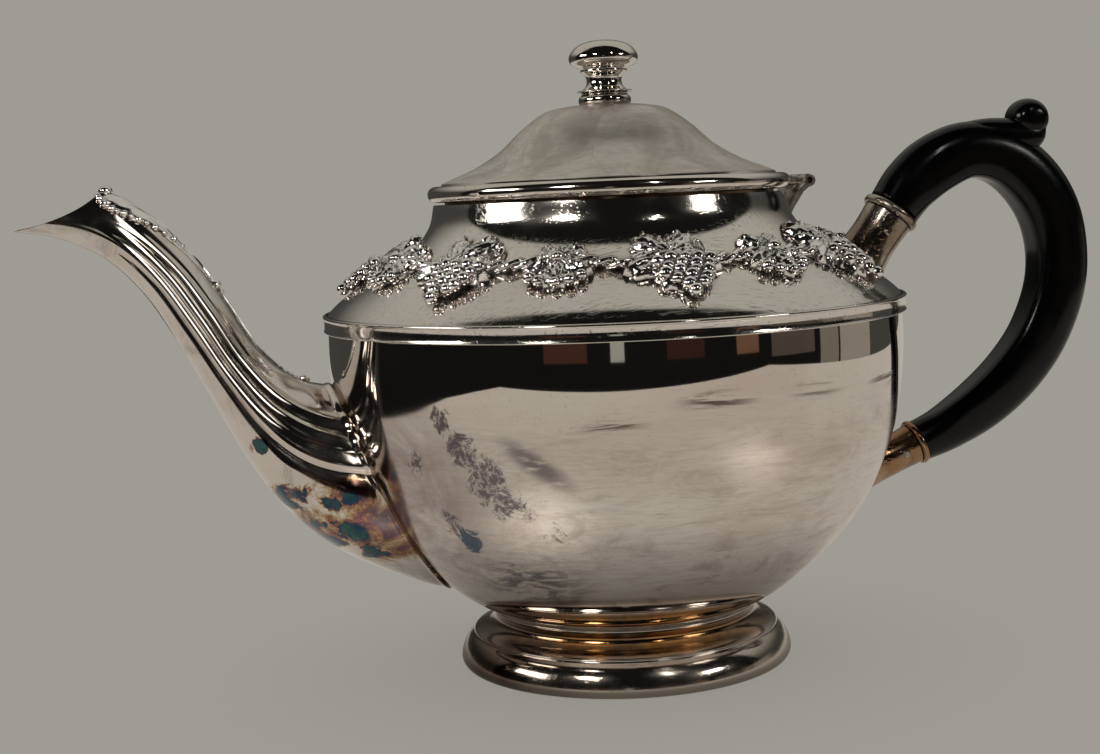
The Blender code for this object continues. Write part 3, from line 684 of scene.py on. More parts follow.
def make_foot(look):
    """Foot with its ridge, golden cove and rounded flange."""
    outside = curve(
        [(34.1, 17), (34.2, 15.2), (34.9, 14.4), (34.3, 13.3), (34.0, 12.2), (34.6, 11.0), (36.3, 9.8),
         (38.6, 9.1), (39.7, 8.7), (39.9, 8.1), (41.2, 7.0), (42.3, 5.5), (43.0, 3.9), (43.4, 2.3),
         (43.4, 1.1), (42.9, 0.2)], 5
    )
    inside = curve(
        [(40.6, 0.2), (40.7, 1.2), (41.6, 2.8), (40.6, 5.6), (38.6, 7.3), (33.8, 9.8), (32.6, 12.4),
         (32.6, 17)], 4
    )
    base = [(42.6, 0.0), (40.8, 0.0)]
    piece("foot", Shape().lathe(np.vstack((outside, base, inside)), 200), look)


# ---------------------------------------------------------------- the spout

# top edge, bottom edge (x, z) and half width of the spout from lip to root
SPOUT_STATIONS = (
    ((-126.2, 126.8), (-147.4, 118.0), 5.4),
    ((-121.8, 124.2), (-138.0, 116.3), 6.6),
    ((-115.0, 119.2), (-127.4, 111.2), 7.2),
    ((-105.8, 109.3), (-118.6, 102.4), 8.0),
    ((-98.9, 99.2), (-111.2, 90.2), 9.2),
    ((-91.2, 86.4), (-104.2, 76.6), 11.0),
    ((-83.6, 79.3), (-96.6, 61.0), 14.5),
    ((-76.0, 76.6), (-87.0, 46.3), 20.0),
    ((-68.0, 76.0), (-74.0, 34.6), 23.0),
    ((-58.0, 75.0), (-56.0, 25.4), 21.0),
    ((-46.0, 70.0), (-47.0, 22.2), 14.0),
    ((-34.0, 64.0), (-36.0, 20.0), 8.0),
)
SPOUT_TOPS = curve([s[0] for s in SPOUT_STATIONS], 24)
SPOUT_BOTTOMS = curve([s[1] for s in SPOUT_STATIONS], 24)
SPOUT_WIDTHS = curve([(s[2], 0) for s in SPOUT_STATIONS], 24)[:, 0]
SPOUT_MIDDLES = (SPOUT_TOPS + SPOUT_BOTTOMS) / 2
SPOUT_HALVES = np.linalg.norm(SPOUT_TOPS - SPOUT_BOTTOMS, axis=1) / 2
SPOUT_UPS = (SPOUT_TOPS - SPOUT_BOTTOMS) / (2 * SPOUT_HALVES[:, None])
SPOUT_WALL = 1.1
SPOUT_SAG = 0.18
SPOUT_ROWS = 120
SPOUT_COLUMNS = 96
RIB_NECK_DEG = (60, 79, 98)
RIB_ROOT_DEG = (41, 52, 62)
RIB_DEPTH = 0.72
# where the top, the three ribs, the edge below them and the bottom stand among the mesh's columns
RIB_COLUMNS = (0.0, 0.28, 0.44, 0.60, 0.72, 1.0)


def rib_spread(share):
    """0 on the neck of the spout to 1 at its root, where the ribs are closer together."""
    return ease((share - 0.3) / 0.6)


def rib_angles(share):
    """Angles from the top, at a share of the length, of the three ribs and the edge below them."""
    spread = rib_spread(share)
    ribs = [np.radians(neck + (root - neck) * spread) for neck, root in zip(RIB_NECK_DEG, RIB_ROOT_DEG)]
    return ribs + [ribs[2] + np.radians(15 - 9 * spread)]


def rib_height(angle, share):
    """How far the reeded side stands out at an angle from the top and a share of the length."""
    strength = ease((share - 0.13) / 0.17)
    width = np.radians(8.8 - 3.2 * rib_spread(share))
    *ribs, edge = rib_angles(share)
    total = 0.0
    for middle in ribs:
        across = np.clip((angle - middle) / width, -1, 1)
        total = total + RIB_DEPTH * np.maximum(np.cos(across * math.pi / 2), 0) ** 0.8
    total = total - 0.5 * np.exp(-((angle - edge) / 0.05) ** 2) + 0.12 * ease((angle - edge - 0.03) / 0.1)
    return total * strength


def column_angle(column, share):
    """Angle from the top of one column of the mesh, which keeps its place among the ribs."""
    stops = [0 * share, *rib_angles(share), 0 * share + math.pi]
    first = min(int(np.searchsorted(RIB_COLUMNS, column, side="right")) - 1, len(RIB_COLUMNS) - 2)
    part = (column - RIB_COLUMNS[first]) / (RIB_COLUMNS[first + 1] - RIB_COLUMNS[first])
    return stops[first] + (stops[first + 1] - stops[first]) * part


def spout_line(column, inset, side):
    """One line along the spout, cut off where it meets the bowl."""
    share = np.linspace(0, 1, len(SPOUT_TOPS))
    angle = column_angle(column, share)
    relief = 0 if inset else rib_height(angle, share)
    along = (np.cos(angle) - SPOUT_SAG * np.sin(angle) ** 2) * (SPOUT_HALVES - inset + relief)
    across = np.sin(angle) * (SPOUT_WIDTHS - inset + relief) * side
    plane = SPOUT_MIDDLES + SPOUT_UPS * along[:, None]
    points = np.column_stack((plane[:, 0], across, plane[:, 1]))
    radius = np.hypot(points[:, 0], points[:, 1])
    clear = radius - np.interp(points[:, 2], BOWL_OUTLINE[:, 1], BOWL_OUTLINE[:, 0])
    met = int(np.argmax(clear < 0.05))
    cut = (clear[met - 1] - 0.05) / (clear[met - 1] - clear[met])
    return np.vstack((points[:met], points[met - 1] + (points[met] - points[met - 1]) * cut))


def resampled(line, count, start):
    """Points along a line in space from a distance after its start, closer together at its end."""
    steps = np.linalg.norm(np.diff(line, axis=0), axis=1)
    walked = np.concatenate(([0], np.cumsum(steps)))
    share = 1 - (1 - np.linspace(0, 1, count)) ** 1.7
    wanted = start + (walked[-1] - start) * share
    return np.column_stack([np.interp(wanted, walked, line[:, k]) for k in range(3)])


def root_flare(outer):
    """Raise a thin bead round the outside where it is soldered to the bowl."""
    from_root = np.linalg.norm(outer - outer[-1:], axis=2)
    swell = 0.45 * np.exp(-((from_root - 1.1) / 0.8) ** 2)
    root_middle = np.array((-78, 0, 52))
    away = (outer - root_middle) * (0.3, 1, 1)
    away /= np.linalg.norm(away, axis=2)[:, :, None]
    return outer + away * swell[:, :, None]


def make_spout(look):
    """Two struck halves with reeded sides, met along the middle plane."""
    columns = np.linspace(0, 1, SPOUT_COLUMNS)
    starts = [2.6 * math.sin(column_angle(c, 0.0)) ** 2 for c in columns]
    for node, side in (("spout_near_half", -1), ("spout_far_half", 1)):
        outer, inner = (
            np.stack([resampled(spout_line(column, inset, side), SPOUT_ROWS, start)
                      for column, start in zip(columns, starts)], axis=1)
            for inset in (0, SPOUT_WALL)
        )
        outer = root_flare(outer)
        rings = np.concatenate((outer, inner[:, ::-1]), axis=1)
        faces = grid_faces(SPOUT_ROWS, 2 * SPOUT_COLUMNS, close_columns=True)
        for row in (0, SPOUT_ROWS - 1):
            first = row * 2 * SPOUT_COLUMNS
            last = first + 2 * SPOUT_COLUMNS - 1
            faces.extend((first + i, first + i + 1, last - i - 1, last - i)
                         for i in range(SPOUT_COLUMNS - 1))
        piece(node, Shape().add(rings, faces), look)


def spout_top(share, angle, proud):
    """A point above the spout's top, at a share of its length and an angle off the middle."""
    spot = share * (len(SPOUT_TOPS) - 1)
    first = min(int(spot), len(SPOUT_TOPS) - 2)
    beyond = spot - first

    def part_way(values):
        return values[first] + (values[first + 1] - values[first]) * beyond

    lean = math.cos(angle) - SPOUT_SAG * math.sin(angle) ** 2
    plane = part_way(SPOUT_MIDDLES) + part_way(SPOUT_UPS) * lean * (part_way(SPOUT_HALVES) + proud)
    return plane[0], math.sin(angle) * (part_way(SPOUT_WIDTHS) + proud), plane[1]


def make_spout_leaf(look):
    """Acanthus leaf over the top of the spout, with beaded edges and a long tip."""
    shape = Shape()
    for lobe_start, lobe_end, reach, lift in ((0.0, 0.245, 0.78, 0.55), (0.06, 0.33, 0.46, 0.32)):
        rows = []
        for share in np.linspace(lobe_start, lobe_end, 56):
            t = (share - lobe_start) / (lobe_end - lobe_start)
            spread = reach * math.sin(math.pi * (0.16 + 0.84 * t)) ** 0.75 * (1 + 0.12 * math.cos(t * 30))
            row = []
            for across in np.linspace(-1, 1, 25):
                vein = 0.35 * math.exp(-(across / 0.12) ** 2) + 0.18 * math.cos(across * 9 - t * 16)
                proud = lift * (1 - across ** 4) + vein * (1 - abs(across)) + 0.05
                row.append(spout_top(share, across * spread, proud))
            under = [spout_top(share, across * spread, -0.2) for across in np.linspace(1, -1, 9)]
            rows.append(row + under)
        shape.loft(rows)
    for side in (-1, 1):
        for i, share in enumerate(np.linspace(0.01627, 0.24407, 15)):
            spread = 0.78 * math.sin(math.pi * (0.16 + 0.84 * share / 0.245)) ** 0.75
            size = 0.95 if i % 2 else 0.7
            shape.ball(spout_top(share, side * spread, 0.35), (size, size, size))
    shape.ball(spout_top(0.004, 0, 0.5), (1.7, 1.9, 1.3), 16, 10)
    for share, size in ((0.335, 1.3), (0.35, 0.8), (0.575, 1.0), (0.588, 0.7)):
        shape.ball(spout_top(share, 0, 0.35), (size, size * 1.2, size))
    ridge = [spout_top(share, 0, 0.1) for share in np.linspace(0.33, 0.575, 40)]
    shape.tube(ridge, 0.42, 8)
    piece("spout_leaf", shape, look, sharp_deg=60)


# ---------------------------------------------------------------- the vine

SLOPE = SHOULDER_OUTLINE[::-1]
SLOPE_STEPS = np.linalg.norm(np.diff(SLOPE, axis=0), axis=1)
SLOPE_WALKED = np.concatenate(([0], np.cumsum(SLOPE_STEPS)))
SLOPE_MIDDLE = np.interp(VINE_R, SLOPE[:, 0], SLOPE_WALKED) - 2.6
SLOPE_NORMAL = beside(SLOPE, -1) - SLOPE


def on_shoulder(bearing, around, down, proud):
    """Place points given round the vine, down the slope and proud of the shoulder, in mm."""
    around, down, proud = np.broadcast_arrays(np.asarray(around, float), down, proud)
    walked = SLOPE_MIDDLE + down
    radius, height = (
        np.interp(walked, SLOPE_WALKED, SLOPE[:, k])
        + proud * np.interp(walked, SLOPE_WALKED, SLOPE_NORMAL[:, k])
        for k in (0, 1)
    )
    turn = bearing + around / VINE_R
    return np.stack((radius * np.cos(turn), radius * np.sin(turn), height), axis=-1)


def vine_leaf(shape, bearing, around, down, size):
    """A lobed vine leaf, hanging tip down, with raised veins and a wavy, serrated edge."""
    lobes = 5
    angle = full_turn(96)
    lobe = np.abs(np.cos(lobes * angle / 2))
    edge = size * (0.58 + 0.42 * lobe ** 0.7) * (1 + 0.07 * np.cos(angle * 21))
    share = np.linspace(0.04, 1, 15)[:, None]
    vein = np.exp(-((1 - lobe) / 0.05) ** 2)
    rise = 0.8 + 2.3 * np.sqrt(np.clip(1 - share ** 2, 0, 1)) + 0.5 * vein * share
    rise = rise + 0.45 * np.cos(lobes * 3 * angle + share * 4) * share * np.cos(share * 14)
    far = edge * share
    where_around = around - far * np.sin(angle)
    where_down = down + far * np.cos(angle)
    ripple = np.sin(where_around * 3.1 + where_down) * np.sin(where_down * 3.7 - where_around * 0.8)
    rise = rise + 0.34 * ripple
    rise[-1] = 0.25
    top = on_shoulder(bearing, where_around, where_down, rise)
    skirt = on_shoulder(bearing, where_around[-1], where_down[-1], -0.2)
    shape.loft(np.concatenate((top, skirt[None])))


def make_vine(look):
    """Seven sections of twisted stem, each with a small leaf, and all but the one by the handle with a large
    leaf and grape bunch.
    """
    pitch = TAU / VINE_SECTIONS
    span = pitch * VINE_R
    quarter = span / 4
    for number in range(VINE_SECTIONS):
        bearing = math.radians(VINE_FIRST_DEG) + pitch / 4 + number * pitch
        bearing = (bearing + math.pi) % TAU - math.pi
        by_handle = abs(bearing) < pitch / 2
        shape = Shape()
        add_stem(shape, bearing, span)
        add_small_leaf(shape, bearing, quarter)
        if not by_handle:
            add_bunch(shape, bearing, -quarter)
        piece(f"vine_section_{number + 1}", shape, look, sharp_deg=60)


def add_stem(shape, bearing, span):
    """Two strands twisted round each other along one section."""
    share = np.linspace(0, 1, 90)
    around = span * (share - 0.5)
    wave = 1.6 * np.sin(TAU * share)
    for strand in (0, math.pi):
        twist = share * TAU * 6 + strand
        path = on_shoulder(bearing, around, wave + 0.8 * np.cos(twist), 1.3 + 0.7 * np.sin(twist))
        shape.tube(path, 0.85 + 0.12 * np.sin(twist * 3), 8)


def add_small_leaf(shape, bearing, around):
    """The small leaf with berries along its lower edge."""
    vine_leaf(shape, bearing, around, -0.5, 8.6)
    berries = ((-5.6, 5.2, 1.5), (-3.2, 6.6, 1.4), (0.4, 7.2, 1.3), (3.4, 6.4, 1.5), (5.8, 4.6, 1.4))
    for sideways, down, size in berries:
        shape.ball(on_shoulder(bearing, around + sideways, down, 1.7), (size, size, size), 14, 9)
    shape.ball(on_shoulder(bearing, around, -0.5, 3.2), (1.7, 1.7, 1.5), 14, 9)


def add_bunch(shape, bearing, around):
    """The large leaf and the hanging bunch of grapes."""
    vine_leaf(shape, bearing, around - 0.8, -1.0, 11.8)
    for row, count in enumerate((5, 4, 4, 3, 2, 1)):
        for column in range(count):
            sideways = around + 1.8 + (column - (count - 1) / 2) * 3.1 + 0.5 * math.sin(row * 2.1)
            down = 1.9 + row * 2.1 + 0.35 * math.cos(column * 2.7)
            proud = 3.3 - 0.25 * row - 0.35 * abs(column - (count - 1) / 2)
            size = 1.68 + 0.14 * math.sin(row * 3.7 + column * 2.3)
            shape.ball(on_shoulder(bearing, sideways, down, proud), (size, size, size), 14, 9)
    curl = np.linspace(0, 1, 40)
    sideways = around + 8.5 + 2.2 * curl * np.cos(curl * 9)
    shape.tube(on_shoulder(bearing, sideways, -6 + 4 * curl * np.sin(curl * 9), 0.8), 0.5 - 0.25 * curl, 7)


# ---------------------------------------------------------------- the handle and its sockets

# middle line (x, z), half height in the handle's plane, half width across it
HANDLE_STATIONS = (
    ((79.4, 114.0), 7.1, 6.9),
    ((84.3, 120.3), 7.5, 6.8),
    ((91.2, 125.4), 7.8, 6.6),
    ((100.5, 128.6), 7.6, 6.4),
    ((110.5, 126.9), 7.8, 6.3),
    ((119.3, 120.4), 8.1, 6.3),
    ((125.4, 111.0), 8.2, 6.3),
    ((127.8, 99.5), 8.0, 6.3),
    ((126.6, 88.5), 8.0, 6.2),
    ((121.4, 76.5), 7.8, 6.2),
    ((113.6, 66.8), 7.6, 6.1),
    ((104.0, 59.0), 7.1, 6.0),
    ((93.5, 53.2), 6.2, 5.6),
    ((84.6, 50.0), 5.7, 5.5),
)
SCROLL_CENTRE = (118.7, 136.4)
SCROLL_R = 5.5


def bar_section(sides, flatness):
    """Unit section of the handle: round outside, flatter inside with a soft edge."""
    turn = full_turn(sides)
    out = np.cos(turn)
    power = np.where(out < 0, 2 + flatness, 2.15)
    size = (np.abs(out) ** power + np.abs(np.sin(turn)) ** power) ** (-1 / power)
    return np.column_stack((out * size, np.sin(turn) * size))


def ring_at(middle, along, half_height, half_width, section):
    """One ring of the handle, square to the direction along."""
    out = np.array((-along[1], along[0]))
    return np.column_stack((
        middle[0] + out[0] * section[:, 0] * half_height,
        section[:, 1] * half_width,
        middle[1] + out[1] * section[:, 0] * half_height,
    ))


def unit(vector):
    """The vector at length 1."""
    return np.asarray(vector, float) / np.linalg.norm(vector)


def make_handle(look):
    """Black scroll handle with its thumb scroll, and a tenon at each end."""
    path = curve([s[0] for s in HANDLE_STATIONS], 12)
    sizes = curve([(s[1], s[2]) for s in HANDLE_STATIONS], 12)
    along = np.gradient(path, axis=0)
    upper_way = unit(UPPER_MOUTH - UPPER_FOOT)
    lower_way = unit(LOWER_FOOT - LOWER_MOUTH)
    round_end = bar_section(48, 0)
    rings = [ring_at(UPPER_MOUTH + upper_way * d, upper_way, 5.6, 5.6, round_end) for d in (-8, 2.2)]
    for i, (middle, size) in enumerate(zip(path, sizes)):
        end = ease(min(i, len(path) - 1 - i) / 22)
        way = unit(along[i])
        if i < 8:
            way = unit(upper_way * (8 - i) + way * i)
        if i > len(path) - 9:
            left = len(path) - 1 - i
            way = unit(lower_way * (8 - left) + way * left)
        rings.append(ring_at(middle, way, size[0], size[1], bar_section(48, 2.4 * end)))
    rings.extend(ring_at(LOWER_MOUTH + lower_way * d, lower_way, 4.2, 4.2, round_end) for d in (-2, 8))
    shape = Shape().loft(rings)
    add_thumb_scroll(shape)
    piece("handle", shape, look, sharp_deg=50)


def add_thumb_scroll(shape):
    """A tongue that rises out of the handle's back and rolls up into the thumb scroll."""
    stations = curve(
        [(90, 131, 1.2, 0.6), (98, 132.9, 2.6, 3.0), (106, 133, 3.9, 4.6), (113.5, 132, 4.9, 5.2),
         (119, 132.4, 4.6, 5.2), (122, 134.6, 1.6, 4.2)], 10
    )
    spine, heights, widths = stations[:, :2], stations[:, 2], stations[:, 3]
    along = np.gradient(spine, axis=0)
    section = bar_section(36, 0.6)
    shape.loft([ring_at(m, unit(a), h, w, section) for m, a, h, w in zip(spine, along, heights, widths)])
    rings = []
    circle = full_turn(40)
    for turn in np.linspace(-math.pi / 2, math.pi / 2, 25):
        radius = max(SCROLL_R * abs(math.cos(turn)) ** 0.62, 0.05)
        rings.append(np.column_stack((
            SCROLL_CENTRE[0] + radius * np.cos(circle),
            np.full(40, 5.7 * math.sin(turn)),
            SCROLL_CENTRE[1] + radius * np.sin(circle),
        )))
    shape.loft(rings)


def socket_frame(mouth, foot, sides=64):
    """A socket's mouth, the way out along it and the spokes round it, in space."""
    way = unit(mouth - foot)
    out = np.array((-way[1], 0, way[0]))
    spokes = [out * math.cos(turn) + np.array((0, math.sin(turn), 0)) for turn in full_turn(sides)]
    return np.array((mouth[0], 0, mouth[1])), np.array((way[0], 0, way[1])), spokes


def make_sockets(upper_look, lower_look, pins):
    """Both sockets with their rings and cross pins."""
    sockets = (
        ("upper", UPPER_MOUTH, UPPER_FOOT, UPPER_TUBE_R, 2.2, SHOULDER_OUTLINE, 4.6, upper_look),
        ("lower", LOWER_MOUTH, LOWER_FOOT, LOWER_TUBE_R, 1.6, BOWL_OUTLINE, 4.2, lower_look),
    )
    for name, mouth, foot, radius, ring_length, surface, pin_depth, look in sockets:
        piece(f"{name}_socket", socket_tube(mouth, foot, radius, surface), look)
        piece(f"{name}_socket_ring", socket_ring(mouth, foot, radius, ring_length), look)
        pin = mouth - unit(mouth - foot) * pin_depth
        reach = radius + 0.25
        path = [(pin[0], y, pin[1]) for y in (-reach, 0.35 - reach, reach - 0.35, reach)]
        piece(f"handle_pin_{name}", Shape().tube(path, (0.6, 1.0, 1.0, 0.6), 20), pins)


def socket_depth(line, surface, distance):
    """How far back from its mouth one line of a socket meets the pot."""
    order = np.argsort(surface[:, 1])
    wall = np.interp(line[:, 2], surface[order, 1], surface[order, 0])
    return distance[np.argmax(np.hypot(line[:, 0], line[:, 1]) < wall + 0.1)]


def socket_tube(mouth, foot, radius, surface):
    """A tube whose far end follows the pot, flared a little where it is soldered on."""
    middle, axis, spokes = socket_frame(mouth, foot)
    distance = np.linspace(0, 40, 400)
    shares = np.linspace(0, 1, 24)
    rows = []
    for spoke in spokes:
        depth = socket_depth(middle + spoke * radius - axis * distance[:, None], surface, distance)
        flare = 0.9 * np.exp(-((1 - shares) * depth / 1.8) ** 2)
        outside = radius + flare - 0.5 * np.sin(math.pi * shares) + 1.1 * shares ** 2
        inside = np.full(len(shares), radius - 1.0)
        rows.append([middle + spoke * r - axis * depth * s
                     for r, s in zip(np.append(outside, inside), np.append(shares, shares[::-1]))])
    return Shape().ring_of(rows)


def socket_ring(mouth, foot, radius, length):
    """Moulded ring at a socket's mouth: a step, a bead and a thin fillet."""
    gap = 0.3
    bead = arc((radius + 0.25, gap + 0.52 * length), 0.48 * length, -80, 80, 12)
    bead[:, 0] = radius + 0.3 + (bead[:, 0] - radius - 0.25) * 0.62
    outline = [(radius - 1.0, gap), (radius + 0.35, gap), *bead,
               (radius + 0.15, gap + length), (radius - 1.0, gap + length)]
    middle, axis, spokes = socket_frame(mouth, foot, 72)
    return Shape().ring_of([[middle + spoke * r + axis * d for r, d in outline] for spoke in spokes])


def make_socket_feet(plate_look, drop_look):
    """The oval plate under the upper socket and the tongue under the lower one."""
    shape = Shape()
    rings = []
    angle = full_turn(64)
    point = 1 + 0.10 * np.clip(np.cos(angle), 0, 1) ** 6
    for share, proud in ((1.0, -0.2), (1.0, 0.5), (0.93, 1.1), (0.7, 1.35), (0.3, 1.5), (0.02, 1.5)):
        around = 10.0 * np.sin(angle) * share
        down = 8.0 + 7.7 * np.cos(angle) * share * point
        rings.append(on_shoulder(0, around, down, proud))
    shape.loft(rings)
    piece("upper_socket_plate", shape, plate_look)

    spine = curve([(65.2, 39.0), (61.2, 35.4), (58.9, 32.2), (57.8, 29.4), (54.8, 26.0)], 8)
    along = np.gradient(spine, axis=0)
    share = np.linspace(0, 1, len(spine))
    section = bar_section(28, 0)
    widths = 5.0 * np.sqrt(1 - share * 0.96)
    heights = 1.3 - 0.7 * share
    rings = [ring_at(m, unit(a), h, w, section) for m, a, h, w in zip(spine, along, heights, widths)]
    piece("lower_socket_drop", Shape().loft(rings), drop_look)


# ---------------------------------------------------------------- hinge and lid

def knuckle(shape, low, high):
    """One hinge knuckle with softened ends and an open bore."""
    ends = [(0.9, low), (KNUCKLE_R - 0.25, low), (KNUCKLE_R, low + 0.25), (KNUCKLE_R, high - 0.25),
            (KNUCKLE_R - 0.25, high), (0.9, high)]
    shape.ring_of([[(HINGE[0] + r * math.cos(turn), y, HINGE[1] + r * math.sin(turn)) for r, y in ends]
                   for turn in full_turn(40)])


def prism(shape, outline, low, high):
    """An XZ outline drawn across in Y with softened ends."""
    middle = np.mean(outline, axis=0)
    rings = []
    for y, share in ((low, 0.93), (low + 0.25, 1.0), (high - 0.25, 1.0), (high, 0.93)):
        moved = middle + (outline - middle) * share
        rings.append(np.column_stack((moved[:, 0], np.full(len(outline), y), moved[:, 1])))
    shape.loft(rings)


def make_hinge(look, pins):
    """Fixed leaf with two knuckles on the neck, lid leaf with one, and the pin."""
    wide = HINGE_HALF_WIDTH
    inner = 2.6
    fixed = Shape()
    strap = [(49.2, 120.2), (50.5, 119.4), (47.9, 115.6), (46.7, 113.6), (46.2, 114.6), (46.8, 116.6)]
    prism(fixed, strap, -wide, wide)
    for low, high in ((-wide, -inner - 0.3), (inner + 0.3, wide)):
        knuckle(fixed, low, high)
        prism(fixed, [(49.2, 120.2), (51.0, 121.8), (52.2, 120.7), (50.5, 119.4)], low, high)
    piece("hinge_leaf_body", fixed, look)
    moving = Shape()
    knuckle(moving, -inner, inner)
    prism(moving, [(46.9, 122.0), (50.7, 122.0), (50.9, 123.3), (46.9, 123.3)], -inner, inner)
    prism(moving, [(46.9, 122.0), (49.0, 122.0), (48.8, 123.4), (46.9, 123.6)], 1 - wide, wide - 1)
    piece("hinge_leaf_lid", moving, look, "lid")
    reach = wide - 0.6
    path = [(HINGE[0], y, HINGE[1]) for y in (-reach, 0.3 - reach, reach - 0.3, reach)]
    piece("hinge_pin", Shape().tube(path, (0.5, 0.8, 0.8, 0.5), 20), pins)


def make_lid(shell_look, bezel_look, plain_look, knob_look):
    """Domed lid with a rolled edge, its bezel, and the knob with its washer and nut."""
    outline = curve(
        [(2.2, 143.8), (6.5, 143.7), (11, 143.3), (16, 142.1), (22, 137.9), (27.5, 132.9), (34, 128.9),
         (40, 126.4), (42.8, 125.2)], 9
    )
    roll = arc((LID_R - 2.05, LID_BASE + 2.05), 2.05, 128, -178, 30)
    inside = beside(outline, 1.0)
    inside[0, 0] = outline[0, 0]
    shell = np.vstack((outline, roll, inside[:-2][::-1]))
    piece("lid_shell", Shape().lathe(shell), shell_look, "lid")
    bezel = [(41.4, 115.7), (41.6, 115.5), (42.1, 115.5), (42.3, 115.7), (42.3, 122.6), (41.4, 123.3)]
    piece("lid_bezel", Shape().lathe(bezel), bezel_look, "lid")
    button = curve([(0, 0), (3.4, 0.25), (6.6, 1.35), (8.5, 3.3), (8.85, 4.9), (8.0, 6.2), (6.4, 7.0)], 7)
    stem = curve([(6.4, 7.0), (5.9, 7.5), (6.0, 8.0), (5.2, 8.6), (4.6, 9.5), (4.5, 10.6), (4.9, 11.8),
                  (5.5, 12.4)], 4)
    base = curve([(5.5, 12.4), (5.9, 12.6), (6.9, 12.8), (7.0, 13.1), (6.2, 13.4), (5.9, 13.8), (6.5, 14.4),
                  (6.75, 15.2), (6.6, 16.0), (6.2, 16.5)], 4)
    below = np.vstack((button, stem[1:], base[1:]))
    knob = np.column_stack((below[:, 0], KNOB_TOP - below[:, 1]))
    knob = np.vstack((knob, [(6.0, KNOB_BASE), (1.7, KNOB_BASE), (1.7, 138.3), (1.5, 138.1), (0, 138.1)]))
    piece("lid_knob", Shape().lathe(knob, 96), knob_look, "lid", sharp_deg=55)
    washer = [(2.1, 141.2), (5.4, 141.2), (5.6, 141.4), (5.6, 142.1), (2.1, 142.5)]
    piece("knob_washer", Shape().lathe(washer, 64), plain_look, "lid")
    make_nut(plain_look)


def make_nut(look):
    """Hexagon nut with chamfered corners."""
    low, high = 138.7, 140.8
    rows = []
    for turn in full_turn(72):
        flat = 3.9 * math.cos(math.pi / 6) / math.cos(turn % (math.pi / 3) - math.pi / 6)
        round_r = min(flat, 3.6)
        outline = [(2.1, low), (round_r, low), (flat, low + 0.3),
                   (flat, high - 0.3), (round_r, high), (2.1, high)]
        rows.append([(r * math.cos(turn), r * math.sin(turn), z) for r, z in outline])
    piece("knob_nut", Shape().ring_of(rows), look, "lid", sharp_deg=25)


# ---------------------------------------------------------------- camera, floor and light

def from_camera(across, front, up):
    """A place given right of, in front of and above the pot's axis, as the camera sees it, in mm."""
    turn = math.radians(CAMERA_BEARING_DEG)
    ahead = np.array((math.cos(turn), math.sin(turn)))
    right = np.array((-ahead[1], ahead[0]))
    flat = (right * across + ahead * front) * MM
    return Vector((flat[0] + POT_X, flat[1], up * MM))


def make_camera():
    """Camera close to the pot and a little above its rim, turned, tipped and rolled to its view."""
    yaw, pitch, roll = -0.0392, 0.1083, -0.0430
    distance, height = 436.4, 121.5
    data = bpy.data.cameras.new("camera")
    data.sensor_width = 36
    data.lens = 54.94
    data.clip_start = 0.01
    camera = bpy.data.objects.new("camera", data)
    ahead = (from_camera(0, 0, 0) - from_camera(0, 1, 0)).normalized()
    right = Vector((ahead.y, -ahead.x, 0))
    level_view = right * math.sin(yaw) + ahead * math.cos(yaw)
    forward = level_view * math.cos(pitch) - Vector((0, 0, math.sin(pitch)))
    level = forward.cross(Vector((0, 0, 1))).normalized()
    upright = level.cross(forward)
    side = level * math.cos(roll) + upright * math.sin(roll)
    over = upright * math.cos(roll) - level * math.sin(roll)
    turn = Matrix((side, over, -forward)).transposed().to_4x4()
    camera.matrix_world = Matrix.Translation(from_camera(0, distance, height)) @ turn
    bpy.context.scene.collection.objects.link(camera)
    bpy.context.scene.camera = camera


BACKDROP = (0.347, 0.332, 0.301)
WORLD_DARK = (0.007, 0.0068, 0.0064)
WORLD_PALE = (0.42, 0.41, 0.37)
TABLE_COLOUR = (1.0, 0.93, 0.83)
TABLE_STRENGTH = 0.475
# right of and in front of the pot's axis, reach in mm and extra strength of each pool of light
TABLE_POOLS = ((118, 112, 58, 0.34), (140, 160, 70, 0.08), (-43, 88, 44, 0.40))


def emission_plane(name, corners, paint, **seen_by):
    """A staged plane that only gives off light, seen only by the kinds of ray named."""
    mesh = bpy.data.meshes.new(name)
    mesh.from_pydata([tuple(c) for c in corners], [], [(0, 1, 2, 3)])
    material = bpy.data.materials.new(name)
    material.use_nodes = True
    material.node_tree.nodes.clear()
    nodes = Nodes(material.node_tree)
    glow = nodes.node("Emission")
    nodes.put(nodes.node("OutputMaterial").inputs["Surface"], glow.outputs[0])
    paint(nodes, glow)
    mesh.materials.append(material)
    made = bpy.data.objects.new(name, mesh)
    bpy.context.scene.collection.objects.link(made)
    for ray in ("camera", "glossy", "diffuse", "transmission", "shadow"):
        setattr(made, "visible_" + ray, seen_by.get(ray, False))


def paint_floor(nodes, glow):
    """Plain floor the colour of the backdrop, with a soft contact shadow."""
    shade = nodes.node("AmbientOcclusion", samples=12)
    shade.inputs["Distance"].default_value = 100 * MM
    open_share = nodes.between(shade.outputs["AO"], 0.0, 0.85, 0.78, 1.0, "LINEAR")
    nodes.put(glow.inputs["Color"], nodes.laid((0, 0, 0), BACKDROP, open_share))


